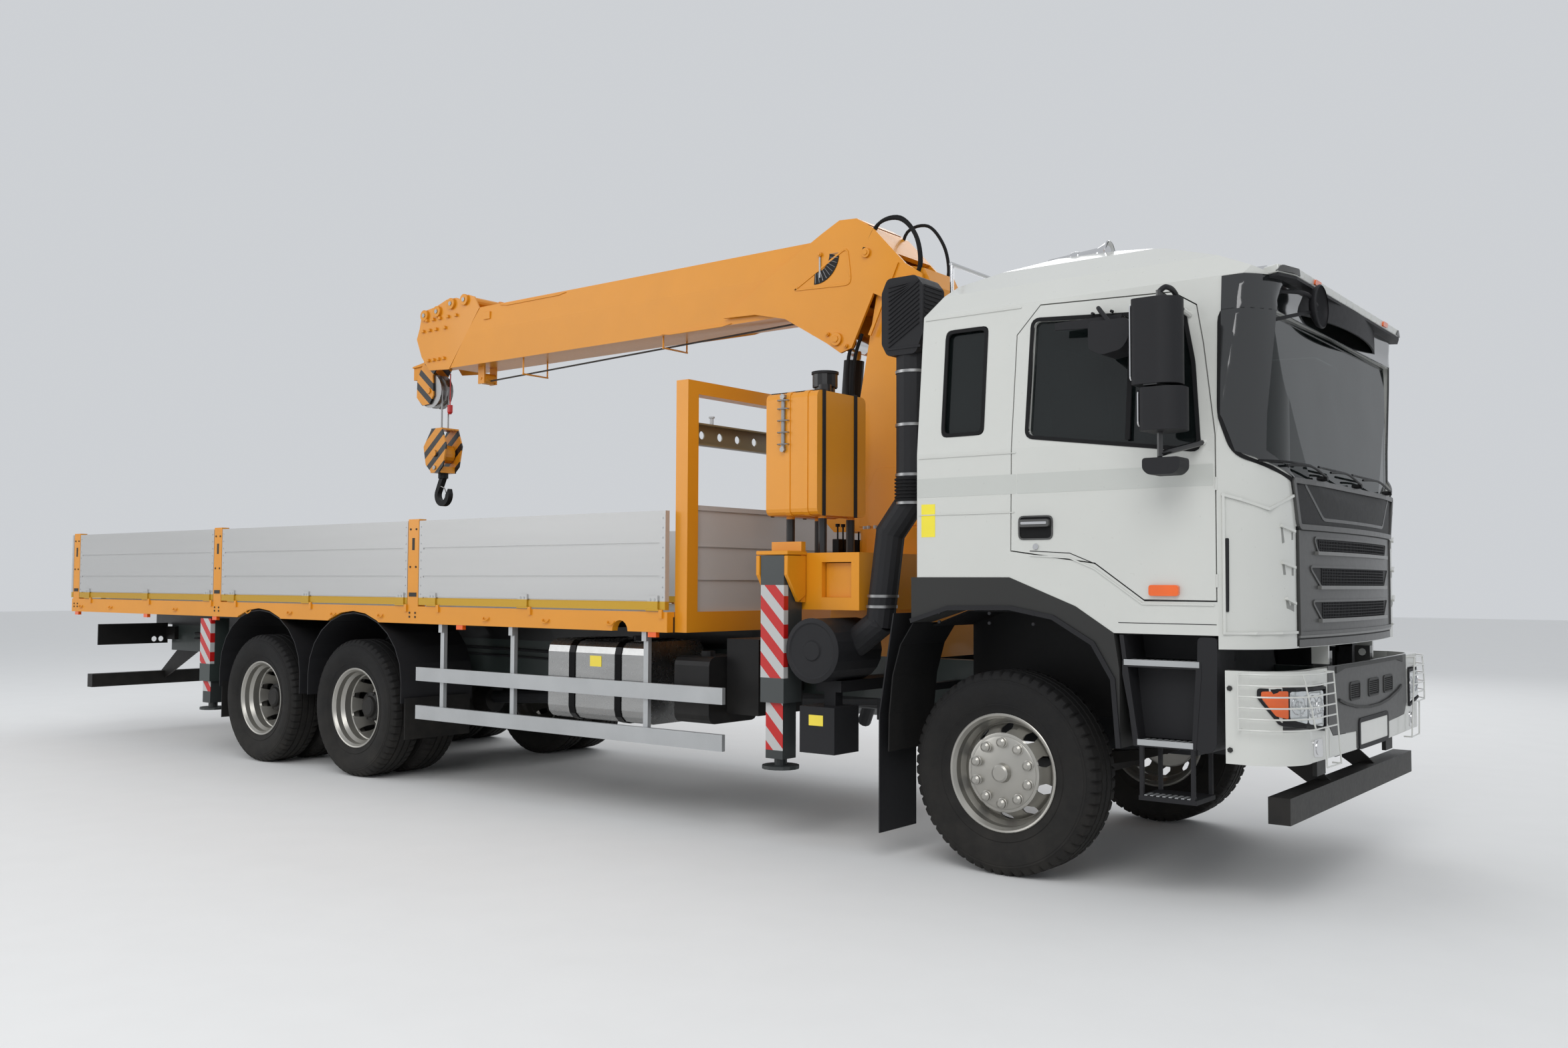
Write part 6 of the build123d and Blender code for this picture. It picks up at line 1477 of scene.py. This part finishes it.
# %% [markdown]
# ## Under the floor
# Round tail lamps, mud flaps and air lines fill the dark space under the bed. They are seen at a flat
# angle and from far off, so plain discs, sheets and pipes are enough; detail here would only make the
# file heavy.

# %% Under the floor: tail lamps, flaps and lines
tail, flaps, lines = Shape(), Shape(), Shape()
for side in (-1, 1):
    for y in (700, 840, 980):
        tail.rod((-10095, side * y, 972), (-10104, side * y, 972), 44, 24)
    for x in (-7560, -4960):
        flaps.box(x - 4, x + 4, side * 620, side * 1220, 330, 640)
    lines.tube([(-9500, side * 440, 980), (-6000, side * 440, 1000), (-2600, side * 440, 960)], 12, 8, 2)
    lines.tube([(-9500, side * 446, 930), (-6000, side * 446, 950), (-2600, side * 446, 900)], 9, 8, 2)
tail.piece("tail_lenses", "chassis", red_lens, bevel=2)
flaps.piece("rear_mud_flaps", "chassis", rubber)
lines.piece("air_lines", "chassis", black_plastic)
print("under floor:", len(made), "pieces so far")

# %% [markdown]
# ## Floor and light
# The truck stands on a plain pale floor in soft studio light: a wide key from high up beside the
# camera, a fill from the truck's rear right, one from its far side, and a light sky. A sharp sun
# would show the form more strongly, but its hard shadows hide the gear under the bed.

# %% Stage
floor_material = finish("floor_paint", (236, 236, 235), 0.75, uneven=0.01)
bpy.ops.mesh.primitive_plane_add(size=120)
floor = bpy.context.object
floor.name = "floor"
floor.data.materials.append(floor_material)

world = bpy.data.worlds.new("studio")
bpy.context.scene.world = world
world.use_nodes = True
sky = world.node_tree.nodes["Background"]
sky.inputs["Color"].default_value = (0.93, 0.96, 1.0, 1.0)
sky.inputs["Strength"].default_value = 0.66


def area_light(name, place, target, size, power):
    """Soft rectangular lamp aimed at a point."""
    data = bpy.data.lights.new(name, "AREA")
    data.size = size
    data.energy = power
    lamp = bpy.data.objects.new(name, data)
    lamp.location = place
    lamp.rotation_euler = (Vector(target) - Vector(place)).to_track_quat("-Z", "Y").to_euler()
    bpy.context.scene.collection.objects.link(lamp)


area_light("key", (9, -12, 11), (0, 0, 1.5), 9, 900)
area_light("fill", (-9, -11, 6), (-1, 0, 1.5), 8, 400)
area_light("back", (-2, 12, 9), (0, 0, 2), 9, 450)
print("stage ready")

# %% [markdown]
# ## Camera
# A camera set by eye disagrees with a photo by many pixels. The place, turn, rise, roll and lens of
# this one were solved from the photo's own measured points, so the picture can be compared with it
# edge by edge. The matrix is built from three directions, which avoids guessing the order of Euler
# angles.

# %% Camera
TURN, RISE, ROLL = radians(38.05), 0.0448, 0.0041
CAMERA_PLACE, FOCAL_MM = (7.8066, -7.2546, 1.5122), 30.215
forward = Vector((-sin(TURN) * cos(RISE), cos(TURN) * cos(RISE), sin(RISE)))
right = Vector((cos(TURN), sin(TURN), 0))
up = right.cross(forward)
rolled_right = right * cos(ROLL) + up * sin(ROLL)
rolled_up = up * cos(ROLL) - right * sin(ROLL)
lens = bpy.data.cameras.new("photo_camera")
lens.lens = FOCAL_MM
lens.sensor_width = 36
lens.clip_end = 200
camera = bpy.data.objects.new("photo_camera", lens)
pose = Matrix((rolled_right, rolled_up, -forward)).transposed().to_4x4()
pose.translation = Vector(CAMERA_PLACE)
camera.matrix_world = pose
bpy.context.scene.collection.objects.link(camera)
bpy.context.scene.camera = camera
bpy.context.scene.view_settings.view_transform = "Standard"
print("camera at", tuple(round(c, 3) for c in pose.translation))
